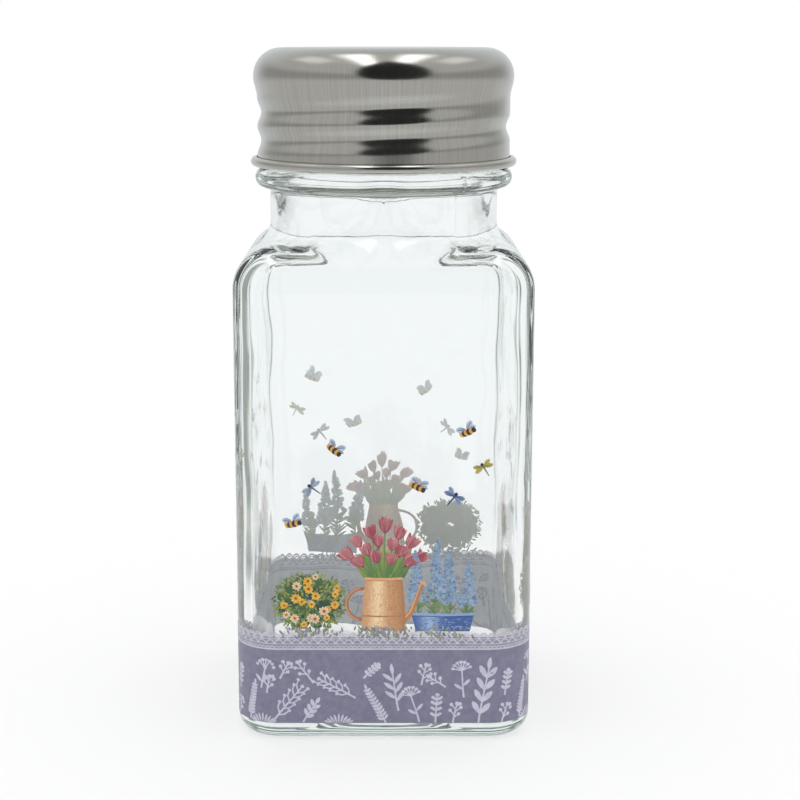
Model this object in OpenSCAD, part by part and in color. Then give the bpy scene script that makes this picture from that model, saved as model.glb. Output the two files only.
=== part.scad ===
// Square glass spice jar with a rolled screw cap, a sealing disc, a sifter insert and a printed decoration.
// The origin is the centre of the foot, +Z is up and the front face looks towards -Y. Sizes are in millimetres.

/* [Glass body] */
// Width of the square body over its flat faces
body_w = 44; // [42:0.5:56]
// Radius of the upright corners, which the shoulder's edges share
corner_r = 6.5; // [5:0.25:8]
// Height at which the flat faces end and the shoulder starts to curve in
shoulder_z = 67.2; // [45:0.5:100]
// Thickness of the glass wall
wall = 2.2; // [1.6:0.1:3]
// Thickness of the glass floor
floor_t = 4; // [2.5:0.25:6]
// Rounding between the faces and the foot
heel_r = 2.8; // [1.5:0.1:4]
// Rounding between the walls and the floor inside
well_r = 2.5; // [1:0.1:2.8]
// Radius of the shallow dish under the foot
dish_r = 14; // [8:0.5:15]
// Depth of that dish
dish_depth = 0.8; // [0.3:0.1:1.4]

/* [Glass neck] */
// Radius of the bore through the neck and the lip
bore_r = 15.3; // [13:0.1:15.4]
// Thickness of the plain neck's wall
neck_wall = 1.95; // [1.6:0.05:2.1]
// Length of the plain neck, from the shoulder's top to the ring
neck_len = 7.3; // [4:0.1:20]
// Hollow rounding where the neck meets the shoulder
neck_blend_r = 1; // [0.5:0.1:1.2]
// Widening of the bore where it opens into the body
bore_flare = 1; // [0.4:0.1:1.4]
// How far the ring below the cap stands out from the neck
ring_out = 2.25; // [1.6:0.05:2.6]
// Height of that ring
ring_h = 3; // [1.5:0.1:4]
// Height of the lip above the ring
finish_h = 15.35; // [14.6:0.05:20]
// Thickness of the lip's wall, between the turns of its thread
lip_wall = 2.2; // [1.8:0.05:2.4]
// Rounding of the lip's outer edge
lip_edge_r = 0.6; // [0.2:0.1:1]

/* [Screw thread] */
// Rise of the thread in one turn
pitch = 4.23; // [3.8:0.01:4.6]
// Height of the glass thread above the lip's outside
glass_thread_h = 1.05; // [0.8:0.05:1.1]
// Width of the glass thread at its root
glass_thread_w = 2.4; // [2:0.1:2.6]
// Turns of the glass thread
glass_turns = 1.6; // [1:0.05:1.7]
// Depth of the groove rolled into the cap
cap_thread_h = 0.75; // [0.5:0.05:0.8]
// Width of that groove
cap_thread_w = 3; // [2.4:0.1:3.2]
// Turns of that groove
cap_turns = 1.65; // [1:0.05:1.7]
// Height of that groove's middle above the rim, measured at the +X side
cap_thread_z = 1.65; // [1.3:0.05:2.2]
// How far the closed cap is drawn up under the glass thread, from mid-way between its turns
thread_draw = 0.3; // [0:0.05:0.4]

/* [Screw cap] */
// Thickness of the sheet metal
sheet = 0.35; // [0.25:0.05:0.4]
// Gap between the skirt's inside and the crest of the glass thread
skirt_gap = 0.2; // [0.15:0.05:0.4]
// How far the crown stands out from the skirt, at its widest
flare_w = 0.55; // [0.2:0.05:1]
// Rounding of the crown's edge
crown_edge_r = 4.2; // [3:0.1:4.6]
// Height over which the skirt flares out to the crown
flare_h = 3.2; // [2:0.1:4]
// Radius of the curl at the rim
curl_r = 0.7; // [0.55:0.05:0.85]
// Gap between the closed cap's rim and the ring
rim_gap = 0.15; // [0.1:0.05:0.6]

/* [Sealing disc] */
// Thickness of the sealing disc
disc_t = 0.95; // [0.7:0.05:1.5]
// Gap between the sealing disc and the crown above it
disc_gap = 0.05; // [0.03:0.01:0.15]

/* [Sifter insert] */
// Thickness of the perforated plate, whose edge rests on the lip
plate_t = 1; // [0.8:0.1:1.6]
// How far the plate laps over the lip
plate_lap = 1.9; // [1:0.1:2]
// Length of the plug that sits in the bore
plug_len = 6.5; // [4:0.5:9]
// Wall of the plug
plug_wall = 1; // [0.8:0.1:1.4]
// Clearance between the plug and the bore
plug_gap = 0.05; // [0.02:0.01:0.1]
// Radius of each sifting hole
hole_r = 1.6; // [1:0.1:1.8]
// Sifting holes in the outer circle
outer_holes = 10; // [6:1:12]
// Radius of the outer circle of holes
outer_circle_r = 10.2; // [9.5:0.1:11]
// Sifting holes in the inner circle
inner_holes = 5; // [3:1:6]
// Radius of the inner circle of holes
inner_circle_r = 4.8; // [4.6:0.1:5.4]

/* [Printed decoration] */
// Thickness of the fired ink
ink_t = 0.05; // [0.03:0.01:0.1]
// Gap between the rounded heel and the band's lower edge
band_gap = 0.1; // [0:0.1:2]
// Height of the plain band
band_h = 11.5; // [6:0.5:16]
// Height of the lace border above the band
lace_h = 2.9; // [1.5:0.1:4]
// Radius of the painted bush
bush_r = 4.4; // [2:0.1:4.6]
// Width of the painted watering can
can_w = 6.5; // [4:0.1:7]
// Height of the painted watering can
can_h = 8; // [4:0.1:10]
// Radius of the painted tulips
tulip_r = 2; // [1.4:0.1:2.6]
// Height of the tallest painted flower spike
spike_h = 14; // [8:0.5:18]
// Distance between the painted flower spikes
spike_gap = 2.4; // [2:0.1:2.6]
// Radius of the florets on the painted spikes
floret_r = 0.9; // [0.5:0.1:1.1]
// Width of the painted stems
stem_w = 0.5; // [0.3:0.1:0.8]
// Radius of the painted bees
bee_r = 1; // [0.6:0.1:1.4]
// Distance on which the painted bees' places are counted
bee_step = 5.5; // [4.5:0.1:5.8]

/* [Hidden] */
$fn = 96;
arc_steps = 8;            // straight stretches in a quarter of a rounding
turn_steps = 40;          // straight stretches in one turn of a thread
section_steps = 6;        // straight stretches across a thread
run_out = 75;             // degrees over which a thread fades at each end
bury = 0.25;              // how far one piece of a union runs into the next
glass_colour = [0.78, 0.87, 0.84, 0.35];
steel_colour = [0.62, 0.61, 0.59];
natural_colour = [0.93, 0.93, 0.90];
foam_colour = [0.97, 0.97, 0.95];
band_colour = [0.49, 0.48, 0.59];
lace_colour = [0.86, 0.85, 0.88];

half_w = body_w / 2;
neck_r = bore_r + neck_wall;
lip_r = bore_r + lip_wall;
ring_r = neck_r + ring_out;
plate_r = bore_r + plate_lap;
shoulder_top = shoulder_z + corner_r;
ring_z = shoulder_top + neck_len;
finish_z = ring_z + ring_h;
lip_z = finish_z + finish_h;
plate_top = lip_z + plate_t;
rim_z = finish_z + rim_gap;
crown_top = plate_top + disc_t + disc_gap + sheet;
crown_z = crown_top - crown_edge_r;
skirt_in = lip_r + glass_thread_h + skirt_gap;
skirt_r = skirt_in + sheet;
crown_r = skirt_r + flare_w;
curl_z = rim_z + curl_r;
cap_thread_start = rim_z + cap_thread_z;
glass_thread_start = cap_thread_start + pitch / 2 - thread_draw;
cap_thread_angle = 120;   // where the groove begins, in degrees from +X
glass_thread_angle = 120; // where the glass thread begins
band_z = heel_r + band_gap;
lace_z = band_z + band_h;

// Points on an arc about [x, y], from one angle to another
function arc(x, y, r, from, to) =
    let (n = max(2, round(arc_steps * abs(to - from) / 90)))
    [for (i = [0:n]) let (a = from + (to - from) * i / n) [x + r * cos(a), y + r * sin(a)]];

// Sweeps an upright profile round a rounded square: its x runs outwards from the corner's centre line
module rounded_square_sweep(half, r) {
    side = 2 * (half - r);
    for (i = [0:3]) rotate(90 * i) translate([side / 2, side / 2, 0]) {
        rotate_extrude(angle = 90) children();
        rotate([90, 0, 0]) linear_extrude(side) children();
    }
}

// A block with rounded upright corners, a rounded lower edge and a shoulder as round as its corners
module rounded_block(half, r, low_z, low_r, high_z) {
    side = 2 * (half - r);
    rounded_square_sweep(half, r) polygon(concat(
        [[0, low_z]], arc(r - low_r, low_z + low_r, low_r, -90, 0), arc(0, high_z, r, 0, 90)));
    translate([-side / 2, -side / 2, low_z]) cube([side, side, high_z + r - low_z]);
}

// How much of its full height a thread has at a given angle along a given run
function fade(angle, run) = max(0.1, min(1, angle / run_out, (run - angle) / run_out));

// A thread's ridge: it stands out of the surface at root_r when way is 1, and into it when way is -1
module thread(root_r, way, height, width, turns, start_angle, start_z) {
    run = 360 * turns;
    steps = round(turn_steps * turns);
    root_angle = acos(bury / (height + bury));
    section = [for (i = [0:section_steps]) let (a = 180 * i / section_steps - 90)
        [(height + bury) * cos(a), a / root_angle * width / 2]];
    count = len(section);
    points = [for (k = [0:steps], p = section)
        let (
            along = run * k / steps,
            angle = start_angle + along,
            r = root_r + way * (p[0] * fade(along, run) - bury),
            z = start_z + pitch * angle / 360 + way * p[1]
        )
        [r * cos(angle), r * sin(angle), z]];
    sides = [for (k = [0:steps - 1], j = [0:count - 1])
        let (a = k * count + j, b = k * count + (j + 1) % count)
        each [[a, b, a + count], [b, b + count, a + count]]];
    first_end = [for (j = [count - 1:-1:0]) j];
    last_end = [for (j = [0:count - 1]) steps * count + j];
    polyhedron(points, concat(sides, [first_end, last_end]));
}

module glass_jar() color(glass_colour) difference() {
    union() {
        rounded_block(half_w, corner_r, 0, heel_r, shoulder_z);
        neck_outside();
        thread(lip_r, 1, glass_thread_h, glass_thread_w, glass_turns, glass_thread_angle, glass_thread_start);
    }
    rounded_block(half_w - wall, corner_r - wall, floor_t, well_r, shoulder_z);
    bore();
    foot_dish();
}

// The neck with its ring and its threaded lip, down into the shoulder that it grows from
module neck_outside() {
    foot_r = neck_r + neck_blend_r;
    corner_line = half_w - corner_r;
    foot_z = shoulder_z + sqrt(corner_r ^ 2 - (foot_r - corner_line) ^ 2) - bury / 2;
    rotate_extrude() polygon(concat(
        [[0, shoulder_z + corner_r - wall], [foot_r, shoulder_z + corner_r - wall]],
        arc(foot_r, foot_z + neck_blend_r, neck_blend_r, -90, -180),
        [[neck_r, ring_z]],
        arc(ring_r - ring_h / 2, ring_z + ring_h / 2, ring_h / 2, -90, 90),
        [[lip_r, finish_z]],
        arc(lip_r - lip_edge_r, lip_z - lip_edge_r, lip_edge_r, 0, 90),
        [[0, lip_z]]));
}

// The straight bore, flared where it opens into the body
module bore() {
    ceiling_z = shoulder_z + corner_r - wall;
    translate([0, 0, shoulder_z]) cylinder(r = bore_r, h = lip_z - shoulder_z + bury);
    translate([0, 0, ceiling_z - bury])
        cylinder(r1 = bore_r + bore_flare + bury, r2 = bore_r - bury, h = bore_flare + 2 * bury);
}

// The dish under the foot, part of a large ball, so that the jar stands on the flat round its edge
module foot_dish() {
    ball_r = (dish_r ^ 2 + dish_depth ^ 2) / (2 * dish_depth);
    translate([0, 0, dish_depth - ball_r]) sphere(r = ball_r, $fn = 360);
}

module screw_cap() color(steel_colour) difference() {
    union() {
        cap_shell();
        cap_thread(skirt_in);
    }
    cap_thread(skirt_r);
}

// The drawn sheet: a flat crown, a rounded edge, a flare, a straight skirt and a curl turned outwards
module cap_shell() {
    curl_x = skirt_in + curl_r;
    curl_end = 105;
    rotate_extrude() polygon(concat(
        [[0, crown_top - sheet]],
        arc(crown_r - crown_edge_r, crown_z, crown_edge_r - sheet, 90, 0),
        flare(sheet),
        arc(curl_x, curl_z, curl_r, -180, curl_end),
        arc(curl_x, curl_z, curl_r - sheet, curl_end, -180),
        reverse(flare(0)),
        arc(crown_r - crown_edge_r, crown_z, crown_edge_r, 0, 90),
        [[0, crown_top]]));
}

// The wave that takes the crown's radius in to the skirt's, from the top down
function flare(inset) = [for (i = [1:arc_steps]) let (t = i / arc_steps)
    [skirt_r - inset + (crown_r - skirt_r) * (1 + cos(180 * t)) / 2, crown_z - flare_h * t]];
function reverse(list) = [for (i = [len(list) - 1:-1:0]) list[i]];

module cap_thread(root_r)
    thread(root_r, -1, cap_thread_h, cap_thread_w, cap_turns, cap_thread_angle, cap_thread_start);

// A disc whose edge follows the inside of the crown
module sealing_disc() color(foam_colour) {
    edge_r = crown_edge_r - sheet - disc_gap;
    rotate_extrude() polygon(concat(
        [[0, plate_top]],
        arc(crown_r - crown_edge_r, crown_z, edge_r, asin((plate_top - crown_z) / edge_r), 90),
        [[0, plate_top + disc_t]]));
}

module sifter_insert() color(natural_colour) difference() {
    plug_r = bore_r - plug_gap;
    rotate_extrude() polygon([
        [0, lip_z], [plug_r - plug_wall, lip_z], [plug_r - plug_wall, lip_z - plug_len],
        [plug_r - plug_wall / 2, lip_z - plug_len], [plug_r, lip_z - plug_len + plug_wall],
        [plug_r, lip_z], [plate_r, lip_z], [plate_r, plate_top], [0, plate_top]]);
    hole_circle(outer_holes, outer_circle_r);
    hole_circle(inner_holes, inner_circle_r);
    hole_circle(1, 0);
}

module hole_circle(count, circle_r)
    for (i = [0:count - 1]) rotate(360 * i / count)
        translate([circle_r, 0, lip_z - bury]) cylinder(r = hole_r, h = plate_t + 2 * bury);

// A strip of ink round the body
module ink_strip(low_z, height)
    rounded_square_sweep(half_w, corner_r) translate([corner_r, low_z]) square([ink_t, height]);

module print_band() color(band_colour) ink_strip(band_z, band_h);

module print_lace() color(lace_colour) ink_strip(lace_z, lace_h);

// One garden picture on each face, standing on the lace border
module print_pictures() color("rosybrown")
    for (i = [0:3]) rotate(90 * i)
        translate([0, -half_w, lace_z + lace_h]) rotate([90, 0, 0]) linear_extrude(ink_t) garden();

// A round bush, a watering can with tulips behind it and a row of flower spikes, with bees above them
module garden() {
    translate([-bush_r - can_w, 0]) bush(bush_r);
    watering_can();
    for (i = [0:3])
        translate([can_w / 2 + spike_gap * (i + 0.75), 0]) flower_spike(spike_h * (1 - 0.13 * abs(i - 1)));
    for (place = [[-2.4, 3], [-1.3, 5], [0.9, 4], [2.2, 5.5]]) translate(place * bee_step) circle(r = bee_r);
}

module bush(r) union() {
    translate([0, r]) circle(r = r);
    for (way = [-1, 1]) translate([way * r * 0.7, r * 0.6]) circle(r = r * 0.6);
}

// The can, its spout and the tulips' heads, as one outline
module watering_can() {
    translate([-can_w / 2, 0]) polygon([[0, 0], [can_w, 0], [can_w * 0.9, can_h], [can_w * 0.1, can_h]]);
    for (i = [-1:1]) translate([i * can_w * 0.36, can_h + tulip_r * 0.75]) circle(r = tulip_r);
}

// A stem with florets up its side, each of which laps over the next
module flower_spike(height) {
    translate([-stem_w / 2, 0]) square([stem_w, height]);
    for (y = [height * 0.45:floret_r * 1.3:height]) translate([0, y]) circle(r = floret_r);
}

glass_jar();
print_band();
print_lace();
print_pictures();
sifter_insert();
sealing_disc();
screw_cap();
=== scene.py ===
"""A square glass spice jar with a rolled steel screw cap and a fired print, dressed on its CAD frame.

Everything is in the CAD's frame: the origin is the centre of the foot, +Z is up and the front face looks
towards -Y. The sizes below are in millimetres, as in the CAD, and become metres where a mesh is finished.
"""
import logging
import math
import random
from collections.abc import Callable, Iterable, Sequence
from dataclasses import dataclass, field
from enum import Enum

import bmesh
import bpy
from mathutils import Euler, Matrix, Vector, noise


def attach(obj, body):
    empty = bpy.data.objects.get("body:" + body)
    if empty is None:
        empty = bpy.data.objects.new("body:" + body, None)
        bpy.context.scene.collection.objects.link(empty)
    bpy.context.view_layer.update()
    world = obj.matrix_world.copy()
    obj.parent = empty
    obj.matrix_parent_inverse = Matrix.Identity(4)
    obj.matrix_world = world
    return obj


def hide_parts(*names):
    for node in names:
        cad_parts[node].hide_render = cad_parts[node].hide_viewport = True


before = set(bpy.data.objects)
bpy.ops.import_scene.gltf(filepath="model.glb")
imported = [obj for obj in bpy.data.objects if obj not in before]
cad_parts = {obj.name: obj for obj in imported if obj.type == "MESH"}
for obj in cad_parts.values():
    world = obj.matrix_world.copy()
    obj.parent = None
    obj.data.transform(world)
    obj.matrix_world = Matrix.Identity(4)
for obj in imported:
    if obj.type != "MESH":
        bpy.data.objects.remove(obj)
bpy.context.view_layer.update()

LOG = logging.getLogger("spice_jar")
MM = 0.001
NodeValue = "bpy.types.NodeSocket | float | tuple"
Place = tuple[float, float]


def linear(colour: str) -> tuple[float, float, float, float]:
    """Turns an sRGB hex colour into linear RGBA.

    Args:
        colour: The colour as #rrggbb.

    Returns:
        The four linear values that Blender's sockets take.
    """
    parts = [int(colour[i:i + 2], 16) / 255 for i in (1, 3, 5)]
    return (*[p / 12.92 if p <= 0.04045 else ((p + 0.055) / 1.055) ** 2.4 for p in parts], 1.0)


def mixed(one: str, other: str, share: float) -> tuple[float, float, float, float]:
    """Mixes two hex colours in linear light, with the given share of the other."""
    return tuple(a + (b - a) * share for a, b in zip(linear(one), linear(other)))


def add_node(tree: bpy.types.NodeTree, kind: str, settings: dict | None = None,
             inputs: dict | None = None) -> bpy.types.Node:
    """Adds one node with its settings and its inputs.

    Args:
        tree: The node tree that takes the node.
        kind: The node's type, such as ShaderNodeMix.
        settings: Properties of the node itself.
        inputs: Input sockets by name or number, each with a value or with the socket that feeds it.

    Returns:
        The new node.
    """
    node = tree.nodes.new(kind)
    for name, value in (settings or {}).items():
        setattr(node, name, value)
    for name, value in (inputs or {}).items():
        if isinstance(value, bpy.types.NodeSocket):
            tree.links.new(value, node.inputs[name])
        else:
            node.inputs[name].default_value = value
    return node


def new_material(name: str) -> tuple[bpy.types.Material, bpy.types.NodeTree]:
    """Starts a material with an empty node tree."""
    material = bpy.data.materials.new(name)
    material.use_nodes = True
    material.node_tree.nodes.clear()
    return material, material.node_tree


def ramp(tree: bpy.types.NodeTree, factor: bpy.types.NodeSocket,
         stops: Sequence[tuple[float, tuple]]) -> bpy.types.NodeSocket:
    """Turns a factor into a colour through a colour ramp.

    Args:
        tree: The node tree.
        factor: The socket with the factor.
        stops: Positions from 0 to 1, each with a linear colour.

    Returns:
        The ramp's colour socket.
    """
    node = add_node(tree, "ShaderNodeValToRGB", {}, {"Fac": factor})
    elements = node.color_ramp.elements
    while len(elements) < len(stops):
        elements.new(0.5)
    for element, (position, colour) in zip(elements, stops):
        element.position = position
        element.color = colour
    return node.outputs["Color"]


# ---------------------------------------------------------------------------------------------- finishes


@dataclass(frozen=True)
class FlintGlass:
    """Pressed soda-lime glass: clear, a little green in its thick edges, with faint waves from the mould."""

    ior: float = 1.52
    green: str = "#a9d6c4"
    green_density: float = 6.0     # per metre, so that only long paths through the walls show the green
    lamp_tint: str = "#f7fbf9"     # what one face leaves of a lamp's light on its way to what is behind
    wave: float = 240.0            # noise per metre: waves about 4 mm long
    wave_height: float = 0.00002

    def material(self) -> bpy.types.Material:
        """Builds the material."""
        material, tree = new_material("soda_lime_glass")
        place = add_node(tree, "ShaderNodeTexCoord").outputs["Object"]
        waves = add_node(tree, "ShaderNodeTexNoise", {}, {
            "Vector": place, "Scale": self.wave, "Detail": 1.0, "Roughness": 0.4})
        bump = add_node(tree, "ShaderNodeBump", {}, {
            "Height": waves.outputs["Fac"], "Strength": 1.0, "Distance": self.wave_height})
        surface = add_node(tree, "ShaderNodeBsdfPrincipled", {}, {
            "Base Color": (1.0, 1.0, 1.0, 1.0), "Transmission Weight": 1.0, "Roughness": 0.0,
            "IOR": self.ior, "Normal": bump.outputs["Normal"]})
        passing = add_node(tree, "ShaderNodeBsdfTransparent", {}, {"Color": linear(self.lamp_tint)})
        lamp_ray = add_node(tree, "ShaderNodeLightPath").outputs["Is Shadow Ray"]
        both = add_node(tree, "ShaderNodeMixShader", {}, {
            0: lamp_ray, 1: surface.outputs["BSDF"], 2: passing.outputs["BSDF"]})
        inside = add_node(tree, "ShaderNodeVolumeAbsorption", {}, {
            "Color": linear(self.green), "Density": self.green_density})
        add_node(tree, "ShaderNodeOutputMaterial", {}, {
            "Surface": both.outputs["Shader"], "Volume": inside.outputs["Volume"]})
        return material


@dataclass(frozen=True)
class DrawnSteel:
    """Drawn stainless steel sheet: satin, with fine scratches along the pull of the press."""

    dark: str = "#b6b5b0"
    light: str = "#c4c3be"
    scratches_round: float = 170.0   # per radian: about 0.1 mm between scratches on the skirt
    scratch_along: float = 60.0      # per metre: scratches about 17 mm long
    crown_across: float = 6000.0     # per metre: about 0.15 mm between the scratches on the flat crown
    crown_r: float = 0.0155          # metres: inside it the sheet keeps the straight scratches of the coil

    def material(self) -> bpy.types.Material:
        """Builds the material."""
        material, tree = new_material("drawn_stainless_steel")
        place = add_node(tree, "ShaderNodeTexCoord").outputs["Object"]
        parts = add_node(tree, "ShaderNodeSeparateXYZ", {}, {0: place}).outputs
        angle = add_node(tree, "ShaderNodeMath", {"operation": "ARCTAN2"}, {0: parts["X"], 1: parts["Y"]})
        round_it = add_node(tree, "ShaderNodeCombineXYZ", {}, {"X": angle.outputs["Value"], "Z": parts["Z"]})
        drawn = add_node(tree, "ShaderNodeMapping", {}, {
            "Vector": round_it.outputs["Vector"], "Scale": (self.scratches_round, 1.0, self.scratch_along)})
        rolled = add_node(tree, "ShaderNodeMapping", {}, {
            "Vector": place, "Scale": (self.crown_across, self.scratch_along, 1.0)})
        flat = add_node(tree, "ShaderNodeVectorMath", {"operation": "LENGTH"}, {
            0: add_node(tree, "ShaderNodeCombineXYZ", {}, {"X": parts["X"], "Y": parts["Y"]}).outputs["Vector"]})
        outer = add_node(tree, "ShaderNodeMapRange", {"interpolation_type": "SMOOTHSTEP"}, {
            "Value": flat.outputs["Value"], "From Min": self.crown_r - 0.0005, "From Max": self.crown_r + 0.001})
        way = add_node(tree, "ShaderNodeMix", {"data_type": "VECTOR"}, {
            0: outer.outputs["Result"], 4: rolled.outputs["Vector"], 5: drawn.outputs["Vector"]})
        scratches = add_node(tree, "ShaderNodeTexNoise", {}, {
            "Vector": way.outputs[1], "Scale": 1.0, "Detail": 1.5, "Roughness": 0.6})
        clouds = add_node(tree, "ShaderNodeTexNoise", {}, {
            "Vector": place, "Scale": 130.0, "Detail": 3.0, "Roughness": 0.55})
        colour = ramp(tree, scratches.outputs["Fac"], [(0.35, linear(self.dark)), (0.65, linear(self.light))])
        shine = add_node(tree, "ShaderNodeMapRange", {}, {
            "Value": clouds.outputs["Fac"], "From Min": 0.3, "From Max": 0.7, "To Min": 0.13, "To Max": 0.21})
        bump = add_node(tree, "ShaderNodeBump", {}, {
            "Height": scratches.outputs["Fac"], "Strength": 0.3, "Distance": 0.000012})
        surface = add_node(tree, "ShaderNodeBsdfPrincipled", {}, {
            "Base Color": colour, "Metallic": 1.0, "Roughness": shine.outputs["Result"],
            "Normal": bump.outputs["Normal"]})
        add_node(tree, "ShaderNodeOutputMaterial", {}, {"Surface": surface.outputs["BSDF"]})
        return material


@dataclass(frozen=True)
class FiredInk:
    """Glass enamel screened on and fired in: a low satin film whose colour breaks up a little."""

    name: str
    thin: str
    full: str
    roughness: float = 0.38
    mottle: float = 900.0      # per metre: patches about 1 mm wide
    grain: float = 7000.0      # per metre: about 0.15 mm, the screen's own grain as coarse as it shows

    def material(self) -> bpy.types.Material:
        """Builds the material."""
        material, tree = new_material(self.name)
        place = add_node(tree, "ShaderNodeTexCoord").outputs["Object"]
        patches = add_node(tree, "ShaderNodeTexNoise", {}, {
            "Vector": place, "Scale": self.mottle, "Detail": 4.0, "Roughness": 0.6})
        grains = add_node(tree, "ShaderNodeTexNoise", {}, {
            "Vector": place, "Scale": self.grain, "Detail": 1.0, "Roughness": 0.5})
        both = add_node(tree, "ShaderNodeMix", {"data_type": "FLOAT"}, {
            0: 0.35, 2: patches.outputs["Fac"], 3: grains.outputs["Fac"]})
        colour = ramp(tree, both.outputs[0], [(0.38, linear(self.thin)), (0.62, linear(self.full))])
        bump = add_node(tree, "ShaderNodeBump", {}, {
            "Height": grains.outputs["Fac"], "Strength": 0.25, "Distance": 0.00001})
        surface = add_node(tree, "ShaderNodeBsdfPrincipled", {}, {
            "Base Color": colour, "Roughness": self.roughness, "Normal": bump.outputs["Normal"]})
        add_node(tree, "ShaderNodeOutputMaterial", {}, {"Surface": surface.outputs["BSDF"]})
        return material


@dataclass(frozen=True)
class PaintedInk:
    """Four-colour enamel transfer: each brush stroke keeps its own colour and breaks up in fine grain."""

    grain: float = 5200.0      # per metre: about 0.2 mm, the transfer's grain as coarse as it shows

    def material(self) -> bpy.types.Material:
        """Builds the material, which reads the colour that the strokes carry as their tint attribute."""
        material, tree = new_material("painted_enamel_transfer")
        place = add_node(tree, "ShaderNodeTexCoord").outputs["Object"]
        tint = add_node(tree, "ShaderNodeAttribute", {"attribute_name": "tint"}).outputs["Color"]
        grains = add_node(tree, "ShaderNodeTexNoise", {}, {
            "Vector": place, "Scale": self.grain, "Detail": 2.0, "Roughness": 0.6})
        shade = add_node(tree, "ShaderNodeMapRange", {}, {
            "Value": grains.outputs["Fac"], "From Min": 0.3, "From Max": 0.7, "To Min": 0.84, "To Max": 1.14})
        colour = add_node(tree, "ShaderNodeVectorMath", {"operation": "SCALE"}, {
            0: tint, "Scale": shade.outputs["Result"]})
        surface = add_node(tree, "ShaderNodeBsdfPrincipled", {}, {
            "Base Color": colour.outputs["Vector"], "Roughness": 0.4})
        add_node(tree, "ShaderNodeOutputMaterial", {}, {"Surface": surface.outputs["BSDF"]})
        return material


@dataclass(frozen=True)
class MouldedPlastic:
    """Natural polypropylene: milky, a little see-through where it is thin, with a fine moulded skin."""

    milk: str = "#eef0ea"
    shade: str = "#dfe3dc"

    def material(self) -> bpy.types.Material:
        """Builds the material."""
        material, tree = new_material("natural_polypropylene")
        place = add_node(tree, "ShaderNodeTexCoord").outputs["Object"]
        flow = add_node(tree, "ShaderNodeTexNoise", {}, {
            "Vector": place, "Scale": 260.0, "Detail": 4.0, "Roughness": 0.55})
        skin = add_node(tree, "ShaderNodeTexNoise", {}, {
            "Vector": place, "Scale": 4200.0, "Detail": 2.0, "Roughness": 0.5})
        colour = ramp(tree, flow.outputs["Fac"], [(0.35, linear(self.shade)), (0.65, linear(self.milk))])
        shine = add_node(tree, "ShaderNodeMapRange", {}, {
            "Value": flow.outputs["Fac"], "From Min": 0.3, "From Max": 0.7, "To Min": 0.3, "To Max": 0.42})
        bump = add_node(tree, "ShaderNodeBump", {}, {
            "Height": skin.outputs["Fac"], "Strength": 0.3, "Distance": 0.00001})
        surface = add_node(tree, "ShaderNodeBsdfPrincipled", {}, {
            "Base Color": colour, "Roughness": shine.outputs["Result"], "IOR": 1.49,
            "Subsurface Weight": 0.4, "Subsurface Radius": (1.0, 1.0, 0.9), "Subsurface Scale": 0.0015,
            "Normal": bump.outputs["Normal"]})
        add_node(tree, "ShaderNodeOutputMaterial", {}, {"Surface": surface.outputs["BSDF"]})
        return material


@dataclass(frozen=True)
class FoamedLiner:
    """Foamed polyethylene liner board: white, dull, with fine closed cells in its skin, whose sunken middles carry
    painted shade.
    """

    skin: str = "#f2f2ee"
    # painted shade: the darker colour given to the sunken middle of each cell
    painted_pit_shade: str = "#dcddd8"
    cell: float = 2600.0       # per metre: cells about 0.4 mm wide

    def material(self) -> bpy.types.Material:
        """Builds the material."""
        material, tree = new_material("foamed_polyethylene")
        place = add_node(tree, "ShaderNodeTexCoord").outputs["Object"]
        cells = add_node(tree, "ShaderNodeTexVoronoi", {"feature": "F1"}, {"Vector": place, "Scale": self.cell})
        # painted shade: darker where the cells sink in, the plain white skin between them
        colour = ramp(tree, cells.outputs["Distance"], [(0.1, linear(self.painted_pit_shade)), (0.5, linear(self.skin))])
        bump = add_node(tree, "ShaderNodeBump", {}, {
            "Height": cells.outputs["Distance"], "Strength": 0.4, "Distance": 0.00003})
        surface = add_node(tree, "ShaderNodeBsdfPrincipled", {}, {
            "Base Color": colour, "Roughness": 0.62, "Normal": bump.outputs["Normal"]})
        add_node(tree, "ShaderNodeOutputMaterial", {}, {"Surface": surface.outputs["BSDF"]})
        return material


# ---------------------------------------------------------------------------------------- mesh helpers


def loft(rings: Sequence[Sequence[Vector]]) -> bmesh.types.BMesh:
    """Grows a closed skin from ring to ring, with a pole in the middle of the first and the last ring.

    Args:
        rings: Rings of equally many points in metres, in order along the skin.

    Returns:
        The closed mesh with its faces outwards.
    """
    bm = bmesh.new()
    number = bm.verts.layers.int.new("number")
    verts = bmesh.ops.create_circle(bm, segments=len(rings[0]), radius=1.0)["verts"]
    for i, vert in enumerate(verts):
        vert[number] = i
        vert.co = rings[0][i]
    first = list(verts)
    edges = list(bm.edges)
    for ring in rings[1:]:
        grown = bmesh.ops.extrude_edge_only(bm, edges=edges)["geom"]
        verts = [part for part in grown if isinstance(part, bmesh.types.BMVert)]
        edges = [part for part in grown if isinstance(part, bmesh.types.BMEdge)]
        for vert in verts:
            vert.co = ring[vert[number]]
    for end in (first, verts):
        middle = sum((vert.co for vert in end), Vector()) / len(end)
        bmesh.ops.pointmerge(bm, verts=end, merge_co=middle)
    bmesh.ops.recalc_face_normals(bm, faces=bm.faces[:])
    return bm


def finish_piece(bm: bmesh.types.BMesh, name: str, materials: Sequence[bpy.types.Material],
                 smooth: bool = True) -> bpy.types.Object:
    """Turns a mesh into an object of the scene.

    Args:
        bm: The mesh, which is freed.
        name: The object's name.
        materials: The materials for its slots.
        smooth: Whether the faces are shaded smooth.

    Returns:
        The new object, at the origin.
    """
    mesh = bpy.data.meshes.new(name)
    for face in bm.faces:
        face.smooth = smooth
    bm.to_mesh(mesh)
    bm.free()
    for material in materials:
        mesh.materials.append(material)
    piece = bpy.data.objects.new(name, mesh)
    bpy.context.scene.collection.objects.link(piece)
    return piece


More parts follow.
